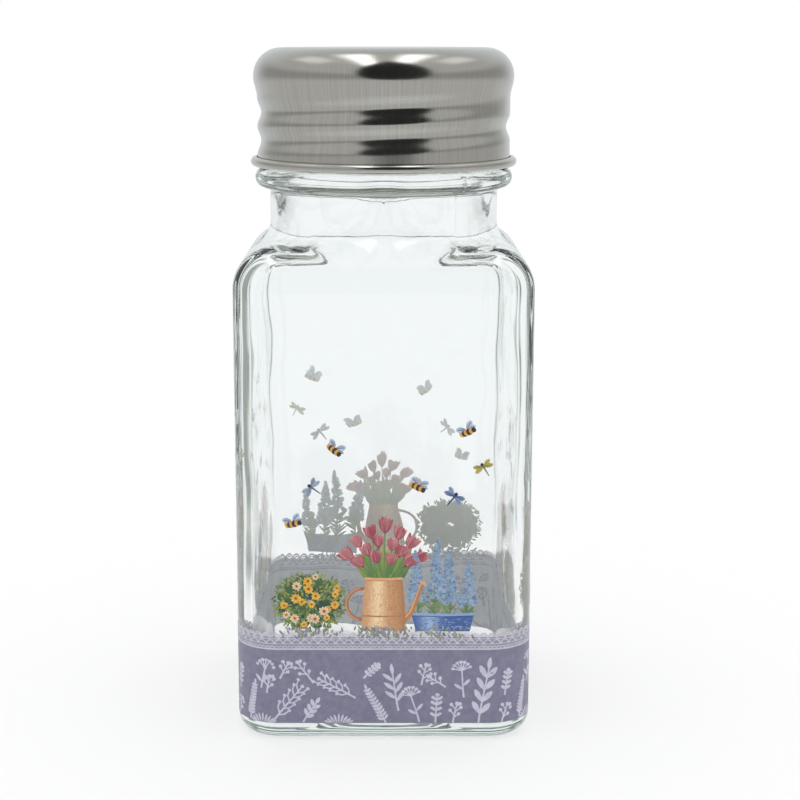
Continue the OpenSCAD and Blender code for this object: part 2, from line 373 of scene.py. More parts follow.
def along(line: Sequence[Place], count: int) -> list[Place]:
    """Shares out points evenly along a line.

    Args:
        line: The line's own points.
        count: How many points to return, both ends among them.

    Returns:
        The points at equal distances along the line.
    """
    reach = [0.0]
    for a, b in zip(line, line[1:]):
        reach.append(reach[-1] + math.dist(a, b))
    points, k = [], 0
    for i in range(count):
        want = reach[-1] * i / (count - 1)
        while k < len(line) - 2 and reach[k + 1] < want:
            k += 1
        span = reach[k + 1] - reach[k]
        t = (want - reach[k]) / span if span > 0 else 0.0
        points.append((line[k][0] + (line[k + 1][0] - line[k][0]) * t,
                       line[k][1] + (line[k + 1][1] - line[k][1]) * t))
    return points


def arc(x: float, y: float, r: float, start: float, end: float, count: int) -> list[Place]:
    """Gives count points on an arc about (x, y), from one angle in degrees to another, both ends included."""
    turns = [math.radians(start + (end - start) * i / (count - 1)) for i in range(count)]
    return [(x + r * math.cos(a), y + r * math.sin(a)) for a in turns]


@dataclass(frozen=True)
class Thread:
    """A screw thread, as a height that a surface gains at a place on it."""

    height: float
    width: float
    turns: float
    start_z: float               # height of its middle at angle 0 of its helix
    start_angle: float = 120.0
    pitch: float = 4.23
    run_out: float = 75.0

    def gain(self, angle: float, z: float) -> float:
        """Tells how far the thread stands out.

        Args:
            angle: The direction from the axis, in degrees from +X.
            z: The height, in millimetres.

        Returns:
            The height of the thread there, in millimetres.
        """
        best = 0.0
        run = 360.0 * self.turns
        for turn in range(-1, 4):
            way = angle % 360.0 + 360.0 * turn - self.start_angle
            if not 0.0 <= way <= run:
                continue
            middle = self.start_z + self.pitch * (way + self.start_angle) / 360.0
            off = abs(z - middle) / (self.width / 2.0)
            if off < 1.0:
                fade = min(1.0, way / self.run_out, (run - way) / self.run_out)
                fade = fade * fade * (3.0 - 2.0 * fade)
                best = max(best, self.height * fade * (0.5 + 0.5 * math.cos(math.pi * off)))
        return best


# --------------------------------------------------------------------------------------------- the jar


@dataclass
class GlassJar:
    """The pressed glass jar: a square body with round corners, a round neck, a ring and a threaded lip."""

    body_w: float = 44.0
    corner_r: float = 6.5
    shoulder_z: float = 67.2
    wall: float = 2.2
    floor_t: float = 4.0
    heel_r: float = 2.8
    well_r: float = 2.5
    dish_r: float = 14.0
    dish_depth: float = 0.8
    neck_r: float = 17.25
    bore_r: float = 15.3
    blend: tuple[float, float] = (2.7, 1.0)       # how far the neck's foot runs out, and how far up
    bore_flare: tuple[float, float] = (4.2, 6.0)  # the same for the bore's mouth inside
    ring_z: float = 81.0
    ring_r: float = 19.5
    ring_h: float = 3.0
    lip_r: float = 17.5
    lip_z: float = 99.35
    lip_edge_r: float = 0.6
    side_steps: int = 24
    corner_steps: int = 18
    finish: FlintGlass = field(default_factory=FlintGlass)
    thread: Thread = field(default_factory=lambda: Thread(1.05, 2.9, 1.6, 87.615))
    directions: list[float] = field(default_factory=list)

    def __post_init__(self) -> None:
        """Works out the directions in which every ring of the mesh has a point."""
        half, line = self.body_w / 2.0, self.body_w / 2.0 - self.corner_r
        for quarter in range(4):
            for i in range(self.side_steps):
                spot = (half, -line + 2.0 * line * i / self.side_steps)
                self.directions.append(math.atan2(spot[1], spot[0]) + quarter * math.pi / 2.0)
            for i in range(self.corner_steps):
                a = math.pi / 2.0 * i / self.corner_steps
                spot = (line + self.corner_r * math.cos(a), line + self.corner_r * math.sin(a))
                self.directions.append(math.atan2(spot[1], spot[0]) + quarter * math.pi / 2.0)

    @property
    def corner_line(self) -> float:
        """Distance from the axis to the centre line of the round corners."""
        return self.body_w / 2.0 - self.corner_r

    def reach(self, direction: float, r: float) -> float:
        """Tells how far out a rounded square lies in a direction.

        Args:
            direction: The direction in radians from +X.
            r: The radius of its corners, which stand on the corner line.

        Returns:
            The distance from the axis.
        """
        c = self.corner_line
        x, y = abs(math.cos(direction)), abs(math.sin(direction))
        x, y = max(x, y), min(x, y)
        if (c + r) * y / x <= c:
            return (c + r) / x
        b = c * (x + y)
        return b + math.sqrt(max(0.0, b * b - 2.0 * c * c + r * r))

    def shoulder(self, direction: float, r: float, top_r: float, blend: tuple[float, float]) -> list[Place]:
        """Draws the section of a shoulder, from the upright wall to the neck's own wall.

        Args:
            direction: The direction of the section in radians.
            r: The radius of the shoulder, which its corners share.
            top_r: The radius of the neck or of the bore.
            blend: How far the hollow between the two runs out, and how far up.

        Returns:
            The section's points, as radius and height.
        """
        line = [(self.reach(direction, r * math.cos(a)), self.shoulder_z + r * math.sin(a))
                for a in [math.pi / 2.0 * i / 40 for i in range(41)]]
        line.append((top_r, self.shoulder_z + r))
        foot = [p for p in line if p[0] > top_r + blend[0]]
        after = next(p for p in line if p[0] <= top_r + blend[0])
        last = foot[-1]
        t = (last[0] - top_r - blend[0]) / max(1e-9, last[0] - after[0])
        start = (top_r + blend[0], last[1] + (after[1] - last[1]) * t)
        slope = (after[1] - last[1]) / max(1e-9, last[0] - after[0])
        knee = (top_r, start[1] + slope * blend[0])
        end = (top_r, knee[1] + blend[1])
        curve = []
        for i in range(1, 9):
            s = i / 8.0
            curve.append(tuple((1 - s) ** 2 * start[k] + 2 * s * (1 - s) * knee[k] + s * s * end[k]
                               for k in (0, 1)))
        return foot + [start] + curve

    def outside(self, direction: float) -> list[Place]:
        """Draws the outside's section, from the middle of the foot to the top of the lip."""
        degrees = math.degrees(direction)
        ball = (self.dish_r ** 2 + self.dish_depth ** 2) / (2.0 * self.dish_depth)
        dish = [(r, self.dish_depth - ball + math.sqrt(ball ** 2 - r ** 2))
                for r in [0.2 + (self.dish_r - 0.2) * i / 9 for i in range(10)]]
        low = self.corner_r - self.heel_r
        flat = along([(self.dish_r + 0.3, 0.0), (self.reach(direction, low) - 0.2, 0.0)], 4)
        heel = [(self.reach(direction, low + self.heel_r * math.cos(a)), self.heel_r * (1.0 + math.sin(a)))
                for a in [-math.pi / 2.0 * (1.0 - i / 10.0) for i in range(11)]]
        wall = along([(self.reach(direction, self.corner_r), self.heel_r),
                      (self.reach(direction, self.corner_r), self.shoulder_z)], 34)[1:-1]
        shoulder = along(self.shoulder(direction, self.corner_r, self.neck_r, self.blend), 40)
        neck = along([(self.neck_r, shoulder[-1][1]), (self.neck_r, self.ring_z - 0.35)], 9)[1:]
        ring = [(self.neck_r + 0.12, self.ring_z - 0.08)] + arc(
            self.ring_r - self.ring_h / 2.0, self.ring_z + self.ring_h / 2.0, self.ring_h / 2.0, -90, 90, 17)
        top = self.lip_z - self.lip_edge_r
        low_lip = self.ring_z + self.ring_h
        lip = [(self.lip_r + self.thread.gain(degrees, z), z)
               for z in [low_lip + (top - low_lip) * i / 54 for i in range(55)]]
        edge = arc(self.lip_r - self.lip_edge_r, top, self.lip_edge_r, 0, 90, 6)[1:]
        seam = 0.13 * sum(math.exp(-(((degrees - at + 180.0) % 360.0 - 180.0) / 0.9) ** 2)
                          for at in (308.0, 128.0))
        upper = [(r + seam, z) for r, z in neck + ring + lip[:4]] + lip[4:]
        return dish + flat + heel + wall + shoulder + upper + edge

    def inside(self, direction: float) -> list[Place]:
        """Draws the inside's section, from the top of the lip down to the middle of the floor."""
        r = self.corner_r - self.wall
        top = along([(self.lip_r - self.lip_edge_r - 0.3, self.lip_z), (self.bore_r + 0.25, self.lip_z)], 3)
        shoulder = along(self.shoulder(direction, r, self.bore_r, self.bore_flare), 34)[::-1]
        bore = along([(self.bore_r, self.lip_z - 0.3), (self.bore_r, shoulder[0][1])], 16)[:-1]
        wall = along([(self.reach(direction, r), self.shoulder_z),
                      (self.reach(direction, r), self.floor_t + self.well_r)], 34)[1:-1]
        well = [(self.reach(direction, r - self.well_r + self.well_r * math.cos(a)),
                 self.floor_t + self.well_r * (1.0 - math.sin(a)))
                for a in [math.pi / 2.0 * i / 10 for i in range(11)]]
        rim = self.reach(direction, r - self.well_r)
        floor = [(rim * s, self.floor_t) for s in (0.9, 0.75, 0.5, 0.25, 0.02)]
        return top + bore + shoulder + wall + well + floor

    def build(self) -> bpy.types.Object:
        """Builds the jar as one closed skin and dresses it.

        Returns:
            The glass piece.
        """
        sections = [self.outside(a) + self.inside(a) for a in self.directions]
        split = len(self.outside(self.directions[0]))
        rings = []
        for k in range(len(sections[0])):
            ring = []
            for a, section in zip(self.directions, sections):
                r, z = section[k]
                spot = Vector((r * math.cos(a), r * math.sin(a), z))
                if k >= split and z < self.shoulder_z + 4.0:
                    # the blown inside is never as true as the mould's outside
                    sway = noise.noise(spot * 0.11) * 0.22 + noise.noise(spot * 0.3) * 0.05
                    spot += Vector((math.cos(a), math.sin(a), 0.0)) * sway * min(1.0, (z - 3.9) / 6.0)
                ring.append(spot * MM)
            rings.append(ring)
        piece = finish_piece(loft(rings), "pressed_glass", [self.finish.material()])
        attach(piece, "jar")
        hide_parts("glass_jar")
        return piece


# ------------------------------------------------------------------------------------------- the print


@dataclass
class Sketch:
    """Flat shapes drawn in the plane of a printed face, in millimetres, which are later wrapped on the jar.

    Every stroke keeps a level, so that a later one lies over an earlier one, and a colour.
    """

    bm: bmesh.types.BMesh = field(default_factory=bmesh.new)
    rise: float = 0.0       # how much higher each stroke lies than the one before it
    strokes: int = 0

    def __post_init__(self) -> None:
        """Adds the number and the colour that each point carries."""
        self.bm.verts.layers.int.new("number")
        self.bm.verts.layers.float_color.new("tint")

    def keep(self, verts: Sequence[bmesh.types.BMVert], colour: tuple, level: float,
             tip: tuple | None = None) -> None:
        """Gives a new stroke its colour, which may change along it, and its level.

        Args:
            verts: The stroke's points, in order along it.
            colour: Its linear colour, where it starts.
            level: Its height over the glass.
            tip: Its linear colour where it ends, if that is another one.
        """
        tint = self.bm.verts.layers.float_color["tint"]
        self.strokes += 1
        for i, vert in enumerate(verts):
            t = i / (len(verts) - 1)
            vert[tint] = tuple(a + (b - a) * t for a, b in zip(colour, tip or colour))
            vert.co.z = level + self.rise * self.strokes

    def blob(self, place: Place, r: float, colour: tuple, level: float, ratio: float = 1.0,
             turn: float = 0.0, steps: int = 8) -> None:
        """Draws a round or oval spot.

        Args:
            place: Its middle.
            r: Half its length.
            colour: Its linear colour.
            level: Its height over the glass.
            ratio: Its width as a share of its length.
            turn: Its direction in radians.
            steps: How many corners it has.
        """
        form = Matrix.Translation((*place, 0.0)) @ Matrix.Rotation(turn, 4, "Z") @ Matrix.Diagonal((r, r * ratio, 1.0, 1.0))
        made = bmesh.ops.create_circle(self.bm, cap_ends=True, segments=steps, radius=1.0, matrix=form)
        self.keep(made["verts"], colour, level)

    def leaf(self, start: Place, end: Place, width: float, colour: tuple, level: float,
             belly: float = 0.5, blunt: float = 0.0, tip: tuple | None = None) -> None:
        """Draws a pointed leaf or petal.

        Args:
            start: Where it grows.
            end: Its tip.
            width: Its greatest width.
            colour: Its linear colour.
            level: Its height over the glass.
            belly: How far along it is widest, from 0 to 1.
            blunt: Half the width of its tip, as a share of its width.
            tip: Its linear colour at the tip, if that is another one.
        """
        a, b = Vector(start), Vector(end)
        run = b - a
        side = Vector((-run.y, run.x)).normalized() * width
        outline = [(0.0, 0.06), (belly * 0.5, 0.38), (belly, 0.5), (belly + (1 - belly) * 0.6, 0.33), (1.0, max(0.02, blunt))]
        edge = self.bm.verts.new(), self.bm.verts.new()
        self.bm.edges.new(edge)
        made = list(edge)
        line = edge[0].link_edges[0]
        for vert, way in zip(edge, (-1, 1)):
            spot = a + run * outline[0][0] + side * outline[0][1] * way
            vert.co = (spot.x, spot.y, 0.0)
        for t, w in outline[1:]:
            grown = bmesh.ops.extrude_edge_only(self.bm, edges=[line])["geom"]
            line = next(part for part in grown if isinstance(part, bmesh.types.BMEdge))
            ends = sorted((part for part in grown if isinstance(part, bmesh.types.BMVert)),
                          key=lambda vert: (vert.co.xy - a).dot(side))
            for vert, way in zip(ends, (-1, 1)):
                spot = a + run * t + side * w * way
                vert.co = (spot.x, spot.y, 0.0)
            made += ends
        self.keep(made, colour, level, tip)

    def ribbon(self, points: Sequence[Place], width: float, colour: tuple, level: float,
               taper: float = 1.0) -> None:
        """Draws a line of even or tapering width.

        Args:
            points: The line's middle.
            width: Its width where it starts.
            colour: Its linear colour.
            level: Its height over the glass.
            taper: Its width where it ends, as a share of the first.
        """
        count = len(points)
        sides = []
        for i, point in enumerate(points):
            run = Vector(points[min(i + 1, count - 1)]) - Vector(points[max(i - 1, 0)])
            side = Vector((-run.y, run.x)).normalized() * width * (1.0 + (taper - 1.0) * i / (count - 1)) / 2.0
            sides.append((Vector(point) - side, Vector(point) + side))
        edge = self.bm.verts.new((*sides[0][0], 0.0)), self.bm.verts.new((*sides[0][1], 0.0))
        line = self.bm.edges.new(edge)
        number = self.bm.verts.layers.int["number"]
        edge[0][number], edge[1][number] = 0, 1
        made = list(edge)
        for pair in sides[1:]:
            grown = bmesh.ops.extrude_edge_only(self.bm, edges=[line])["geom"]
            line = next(part for part in grown if isinstance(part, bmesh.types.BMEdge))
            for vert in (part for part in grown if isinstance(part, bmesh.types.BMVert)):
                vert.co = (*pair[vert[number]], 0.0)
                made.append(vert)
        self.keep(made, colour, level)

    def add(self, other: "Sketch", place: Place = (0.0, 0.0), turn: float = 0.0, size: float = 1.0,
            lift: float = 0.0) -> None:
        """Copies another sketch into this one.

        Args:
            other: The sketch to copy, which stays as it is.
            place: Where its origin goes.
            turn: How far it is turned, in radians.
            size: Its scale in its own plane.
            lift: How much higher it lies over the glass.
        """
        mesh = bpy.data.meshes.new("copy")
        other.bm.to_mesh(mesh)
        mesh.transform(Matrix.Translation((*place, lift)) @ Matrix.Rotation(turn, 4, "Z")
                       @ Matrix.Diagonal((size, size, 1.0, 1.0)))
        self.bm.from_mesh(mesh)
        bpy.data.meshes.remove(mesh)

    def clip(self, low: float, high: float) -> None:
        """Cuts off what lies below low or above high."""
        for height, way in ((low, -1.0), (high, 1.0)):
            bmesh.ops.bisect_plane(self.bm, geom=self.bm.verts[:] + self.bm.edges[:] + self.bm.faces[:],
                                   dist=1e-6, plane_co=(0.0, height, 0.0), plane_no=(0.0, way, 0.0),
                                   clear_outer=True)


@dataclass
class PrintedSkin:
    """The decorated skin of the body: it wraps flat sketches round the square with its round corners."""

    jar: GlassJar
    bury: float = 0.02      # how far the fired ink reaches into the glass, so that no air lies between them

    @property
    def side(self) -> float:
        """Length of one flat side."""
        return 2.0 * self.jar.corner_line

    @property
    def lap(self) -> float:
        """Length of one side with one corner, a quarter of the way round."""
        return self.side + self.jar.corner_r * math.pi / 2.0

    def wrap(self, u: float, v: float, w: float) -> Vector:
        """Places a point of a sketch on the jar.

        Args:
            u: The way round from the middle of the front face, to the right.
            v: The height.
            w: The height over the glass.

        Returns:
            The place in metres.
        """
        half = self.jar.body_w / 2.0
        quarter = math.floor((u + self.side / 2.0) / self.lap)
        t = u + self.side / 2.0 - quarter * self.lap
        if t <= self.side:
            spot = Vector((t - self.side / 2.0, -half - w, v))
        else:
            a = (t - self.side) / self.jar.corner_r
            r = self.jar.corner_r + w
            line = self.jar.corner_line
            spot = Vector((line + r * math.sin(a), -line - r * math.cos(a), v))
        return Matrix.Rotation(quarter * math.pi / 2.0, 3, "Z") @ spot * MM

    def piece(self, sketch: Sketch, name: str, material: bpy.types.Material,
              back: str = "#dcdcdc", back_share: float = 0.0) -> bpy.types.Object:
        """Gives a sketch its thickness, wraps it and makes it a piece.

        Args:
            sketch: The sketch, which is used up.
            name: The piece's name.
            material: Its material.
            back: The colour that its strokes take on their back, towards the glass.
            back_share: How much of that colour.

        Returns:
            The new piece.
        """
        bm = sketch.bm
        tint = bm.verts.layers.float_color["tint"]
        pale = linear(back)
        fronts = bm.faces[:]
        grown = bmesh.ops.extrude_face_region(bm, geom=fronts, use_keep_orig=True)["geom"]
        raised = {part for part in grown if isinstance(part, bmesh.types.BMVert)}
        for vert in bm.verts:
            level = vert.co.z
            if vert not in raised:
                level = level - self.bury - 0.05
                if back_share:
                    vert[tint] = tuple(a + (b - a) * back_share for a, b in zip(vert[tint], pale))
            vert.co = self.wrap(vert.co.x, vert.co.y, level)
        bmesh.ops.recalc_face_normals(bm, faces=bm.faces[:])
        piece = finish_piece(bm, name, [material], smooth=False)
        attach(piece, "jar")
        return piece


class SprigKind(Enum):
    """The small plants that are scattered over the band."""

    BUDDED = "budded branch"
    FERN = "many-leaved branch"
    TWIG = "twig with pointed leaves"
    UMBEL = "umbel"
    LOBED = "lobed sprig"
    BERRY = "berry sprig"
    TALL = "tall branch"
    TUFT = "tuft at the edge"


@dataclass
class SprigDrawer:
    """Draws the pale sprigs: thin stems with leaves, buds or berries, each about as tall as a thumbnail."""

    colour: tuple = field(default_factory=lambda: linear("#c3c1d3"))
    level: float = 0.042
    stroke: float = 0.3

    def bow(self, height: float, bend: float, steps: int = 9) -> list[Place]:
        """Gives the points of a bowed stem, from its foot upwards."""
        return [(bend * math.sin(math.pi * 0.55 * i / (steps - 1)) * i / (steps - 1), height * i / (steps - 1))
                for i in range(steps)]

    def draw(self, kind: SprigKind, height: float, bend: float) -> Sketch:
        """Draws one sprig with its foot at the origin, each stroke a little higher than the one before.

        Args:
            kind: Which plant it is.
            height: How tall it is.
            bend: How far it leans over.

        Returns:
            The sketch.
        """
        page = Sketch(rise=0.00018)
        c, z = self.colour, self.level
        stem = self.bow(height, bend)
        if kind is not SprigKind.TUFT:
            page.ribbon(stem, self.stroke, c, z, 0.7)

        def at(t: float) -> Vector:
            """Gives the place on the stem at a share of its height."""
            k = min(len(stem) - 2, int(t * (len(stem) - 1)))
            f = t * (len(stem) - 1) - k
            return Vector(stem[k]).lerp(Vector(stem[k + 1]), f)

        def ray(start: Vector, angle: float, length: float) -> Vector:
            """Gives the end of a straight shoot, its angle counted from straight up."""
            return start + Vector((math.sin(angle), math.cos(angle))) * length

        if kind is SprigKind.BUDDED:
            for i, t in enumerate((0.22, 0.4, 0.56, 0.72, 0.86)):
                for way in (-1, 1):
                    start = at(t - 0.05 * (way > 0))
                    knee = ray(start, way * 0.85, height * 0.14)
                    end = ray(knee, way * 0.3, height * 0.13)
                    page.ribbon([tuple(start), tuple(knee), tuple(end)], self.stroke * 0.75, c, z)
                    page.blob(tuple(end), 0.3, c, z + 0.001, 0.75, steps=8)
            page.blob(tuple(at(1.0)), 0.32, c, z + 0.001, 0.8)
        elif kind is SprigKind.FERN:
            for i in range(10):
                t = 0.12 + 0.086 * i
                for way in (-1, 1):
                    start = at(t)
                    page.leaf(tuple(start), tuple(ray(start, way * 0.95, height * 0.13 * (1.2 - 0.5 * t))), 0.42, c, z, 0.6, 0.25)
            page.leaf(tuple(at(0.94)), tuple(ray(at(0.97), 0.0, 0.7)), 0.45, c, z, 0.5, 0.2)
        elif kind is SprigKind.TWIG:
            for t in (0.3, 0.52, 0.74):
                for way in (-1, 1):
                    start = at(t - 0.07 * (way > 0))
                    page.leaf(tuple(start), tuple(ray(start, way * 0.75, height * 0.33)), 0.62, c, z, 0.55)
            page.leaf(tuple(at(0.9)), tuple(ray(at(0.95), 0.05, height * 0.24)), 0.6, c, z, 0.5)
        elif kind is SprigKind.UMBEL:
            top = at(1.0)
            for i in range(7):
                angle = (i - 3) * 0.42
                end = ray(top, angle, 1.35)
                page.ribbon([tuple(top), tuple(end)], self.stroke * 0.6, c, z)
                page.blob(tuple(end), 0.3, c, z + 0.001, 0.8, steps=7)
            for way, t in ((-1, 0.3), (1, 0.42)):
                start = at(t)
                page.leaf(tuple(start), tuple(ray(start, way * 0.9, 1.5)), 0.5, c, z, 0.6, 0.2)
        elif kind is SprigKind.LOBED:
            for t in (0.25, 0.45, 0.65, 0.82):
                for way in (-1, 1):
                    start = at(t)
                    end = ray(start, way * 1.0, height * 0.17)
                    page.leaf(tuple(start), tuple(end), 0.5, c, z, 0.7, 0.3)
                    page.blob(tuple(end), 0.26, c, z + 0.001, 0.9, steps=7)
            page.blob(tuple(at(1.0)), 0.36, c, z + 0.001, 0.8)
        elif kind is SprigKind.BERRY:
            for t, way, reach in ((0.3, 1, 0.9), (0.42, -1, 1.0), (0.58, 1, 1.1), (0.7, -1, 1.0), (0.84, 1, 0.7)):
                start = at(t)
                end = ray(start, way * 0.8, reach)
                page.ribbon([tuple(start), tuple(end)], self.stroke * 0.6, c, z)
                page.blob(tuple(end), 0.28, c, z + 0.001, 1.0, steps=8)
            page.blob(tuple(at(1.0)), 0.3, c, z + 0.001, 1.0)
        elif kind is SprigKind.TALL:
            for t in (0.16, 0.36, 0.56, 0.76):
                for way in (-1, 1):
                    start = at(t)
                    page.leaf(tuple(start), tuple(ray(start, way * 0.62, height * 0.24)), 0.85, c, z, 0.62)
            page.leaf(tuple(at(0.9)), tuple(ray(at(0.95), 0.0, height * 0.16)), 0.7, c, z, 0.5)
        else:
            for i in range(9):
                angle = (i - 4) * 0.3
                length = 1.5 * (1.0 - 0.05 * abs(i - 4))
                page.leaf((0.25 * (i - 4), 0.0), tuple(ray(Vector((0.25 * (i - 4), 0.0)), angle, length)), 0.32, c, z, 0.7, 0.3)
        return page


@dataclass
class SprigBand:
    """The plain lilac band with its sprigs, and the lace border above it."""

    skin: PrintedSkin
    low: float = 2.95
    high: float = 14.4
    lace_high: float = 17.3
    band_level: float = 0.03
    lace_level: float = 0.043
    scallops: int = 32             # per side and corner, about 1.3 mm apart
    ground: FiredInk = FiredInk("lilac_glass_enamel", "#83829b", "#747389")
    underlay: FiredInk = FiredInk("pale_enamel_underlay", "#f2f2f5", "#e4e5eb")
    sprigs: FiredInk = FiredInk("pale_lilac_enamel", "#d0cede", "#bbb9cd")
    lace: FiredInk = FiredInk("white_lilac_enamel", "#cfcdd9", "#bcbac8")
    mesh_ink: FiredInk = FiredInk("grey_lilac_enamel", "#9c9aab", "#87859a")

    def strip(self, low: float, high: float, level: float, name: str,
              materials: Sequence[bpy.types.Material]) -> bpy.types.Object:
        """Makes a plain strip of ink all round the body.

        Args:
            low: Its lower edge.
            high: Its upper edge.
            level: Its height over the glass.
            name: The piece's name.
            materials: Its material, and that of its back towards the glass.

        Returns:
            The new piece.
        """
        steps = 4 * (8 + 24)
        bm = bmesh.new()
        number = bm.verts.layers.int.new("number")
        verts = bmesh.ops.create_circle(bm, segments=steps, radius=1.0)["verts"]
        ways = []
        for quarter in range(4):
            for i in range(8):
                ways.append(quarter * self.skin.lap - self.skin.side / 2.0 + self.skin.side * i / 8)
            for i in range(24):
                ways.append(quarter * self.skin.lap + self.skin.side / 2.0
                            + (self.skin.lap - self.skin.side) * i / 24)
        for i, vert in enumerate(verts):
            vert[number] = i
        edges = list(bm.edges)
        corners = [(level, low), (level, high), (-self.skin.bury, high), (-self.skin.bury, low)]
        loops = [edges]
        for vert in verts:
            vert.co = self.skin.wrap(ways[vert[number]], corners[0][1], corners[0][0])
        for w, v in corners[1:]:
            grown = bmesh.ops.extrude_edge_only(bm, edges=edges)["geom"]
            edges = [part for part in grown if isinstance(part, bmesh.types.BMEdge)]
            for face in (part for part in grown if isinstance(part, bmesh.types.BMFace)):
                face.material_index = int(w < 0.0 and v == low)
            for vert in (part for part in grown if isinstance(part, bmesh.types.BMVert)):
                vert.co = self.skin.wrap(ways[vert[number]], v, w)
            loops.append(edges)
        bmesh.ops.bridge_loops(bm, edges=loops[0] + loops[-1])
        bmesh.ops.recalc_face_normals(bm, faces=bm.faces[:])
        piece = finish_piece(bm, name, materials, smooth=False)
        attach(piece, "jar")
        return piece

    def scatter(self) -> Sketch:
        """Scatters the sprigs of one side and one corner over the band, and repeats them all round.

        Returns:
            The sketch of all the sprigs.
        """
        drawer = SprigDrawer()
        plan = [
            (SprigKind.BUDDED, -16.4, 3.3, 6.9, 0.5, 0.6), (SprigKind.TWIG, -12.0, 3.1, 3.9, 0.3, 0.5),
            (SprigKind.BERRY, -10.4, 9.3, 4.0, 0.2, -0.7), (SprigKind.BERRY, -17.4, 7.6, 2.7, 0.2, 0.1),
            (SprigKind.TUFT, -6.7, 2.9, 1.0, 0.0, 0.0), (SprigKind.BUDDED, -4.2, 6.9, 6.2, -0.4, -1.0),
            (SprigKind.FERN, 0.4, 2.8, 6.5, -0.6, -0.4), (SprigKind.TWIG, 2.2, 4.9, 6.3, 0.3, -0.2),
            (SprigKind.UMBEL, 5.3, 3.1, 4.3, -0.4, -0.2), (SprigKind.LOBED, 7.7, 2.9, 4.5, 0.2, 0.02),
            (SprigKind.BERRY, 10.3, 2.9, 3.2, 0.3, 0.1), (SprigKind.UMBEL, 11.9, 7.0, 4.2, 0.2, -0.12),
            (SprigKind.TALL, 14.1, 2.9, 9.5, 0.5, 0.12), (SprigKind.BERRY, 9.2, 8.6, 3.0, -0.3, -0.9),
            (SprigKind.LOBED, 18.1, 7.2, 3.9, 0.2, 0.1), (SprigKind.BERRY, 5.6, 8.9, 3.3, 0.2, 0.15),
            (SprigKind.LOBED, -3.0, 10.0, 3.1, 0.2, 0.75), (SprigKind.BERRY, 17.6, 2.9, 3.0, 0.2, 0.25),
            (SprigKind.FERN, 20.9, 3.2, 5.9, 0.4, 0.1), (SprigKind.TUFT, 23.1, 2.9, 1.0, 0.0, 0.0),
            (SprigKind.UMBEL, 22.9, 8.3, 3.2, 0.2, 0.15), (SprigKind.BERRY, -15.4, 9.9, 2.8, 0.2, 0.4),
        ]
        one = Sketch()
        for i, (kind, u, v, height, bend, lean) in enumerate(plan):
            one.add(drawer.draw(kind, height, bend), (u, v), -lean, lift=0.00005 * i)
        one.clip(self.low + 0.05, self.high - 0.1)
        page = Sketch()
        for quarter in range(4):
            page.add(one, (quarter * self.skin.lap, 0.0))
        return page

    def crochet(self) -> tuple[Sketch, Sketch]:
        """Draws the lace: a hem, two rows of loops and a scalloped upper edge, with threads between them.

        Returns:
            The sketch of its pale threads.
        """
        c, hem = linear("#c6c5d1"), linear("#b3b2c1")
        one = Sketch()
        pitch = self.skin.lap / self.scallops
        z = self.lace_level
        base = self.high
        for i in range(self.scallops):
            u = -self.skin.side / 2.0 + pitch * (i + 0.5)
            one.ribbon(arc(u, base + 1.95, pitch * 0.46, 5, 175, 9), 0.2, c, z)
            one.ribbon(arc(u, base + 1.95, pitch * 0.25, 0, 180, 7), 0.15, c, z + 0.001)
            one.ribbon(arc(u + pitch / 2.0, base + 1.02, pitch * 0.42, 10, 170, 7), 0.17, c, z)
            for share in (-0.25, 0.25):
                one.ribbon(arc(u + pitch * share, base + 0.34, pitch * 0.21, 0, 180, 6), 0.13, c, z)
            one.blob((u, base + 1.02), 0.2, c, z + 0.001, 0.8, steps=7)
            one.blob((u + pitch / 2.0, base + 1.95), 0.19, c, z + 0.001, 1.0, steps=7)
        steps = 110
        for low, high in ((0.02, 0.26), (0.9, 1.0), (1.66, 1.8)):
            line = [(-self.skin.side / 2.0 + self.skin.lap * i / steps, base + (low + high) / 2.0)
                    for i in range(steps + 1)]
            one.ribbon(line, high - low, hem, z - 0.001)
        page = Sketch()
        for quarter in range(4):
            page.add(one, (quarter * self.skin.lap, 0.0))
        return page

    def build(self) -> list[bpy.types.Object]:
        """Builds the band, its sprigs and the lace.

        Returns:
            The new pieces.
        """
        underlay = self.underlay.material()
        band = self.strip(self.low, self.high, self.band_level, "lilac_band", [self.ground.material(), underlay])
        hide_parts("print_band")
        sprigs = self.skin.piece(self.scatter(), "band_sprigs", self.sprigs.material())
        ground = self.strip(self.high, self.high + 2.0, self.band_level, "lace_ground",
                            [self.mesh_ink.material(), underlay])
        lace = self.skin.piece(self.crochet(), "lace_threads", self.lace.material())
        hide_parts("print_lace")
        return [band, sprigs, ground, lace]


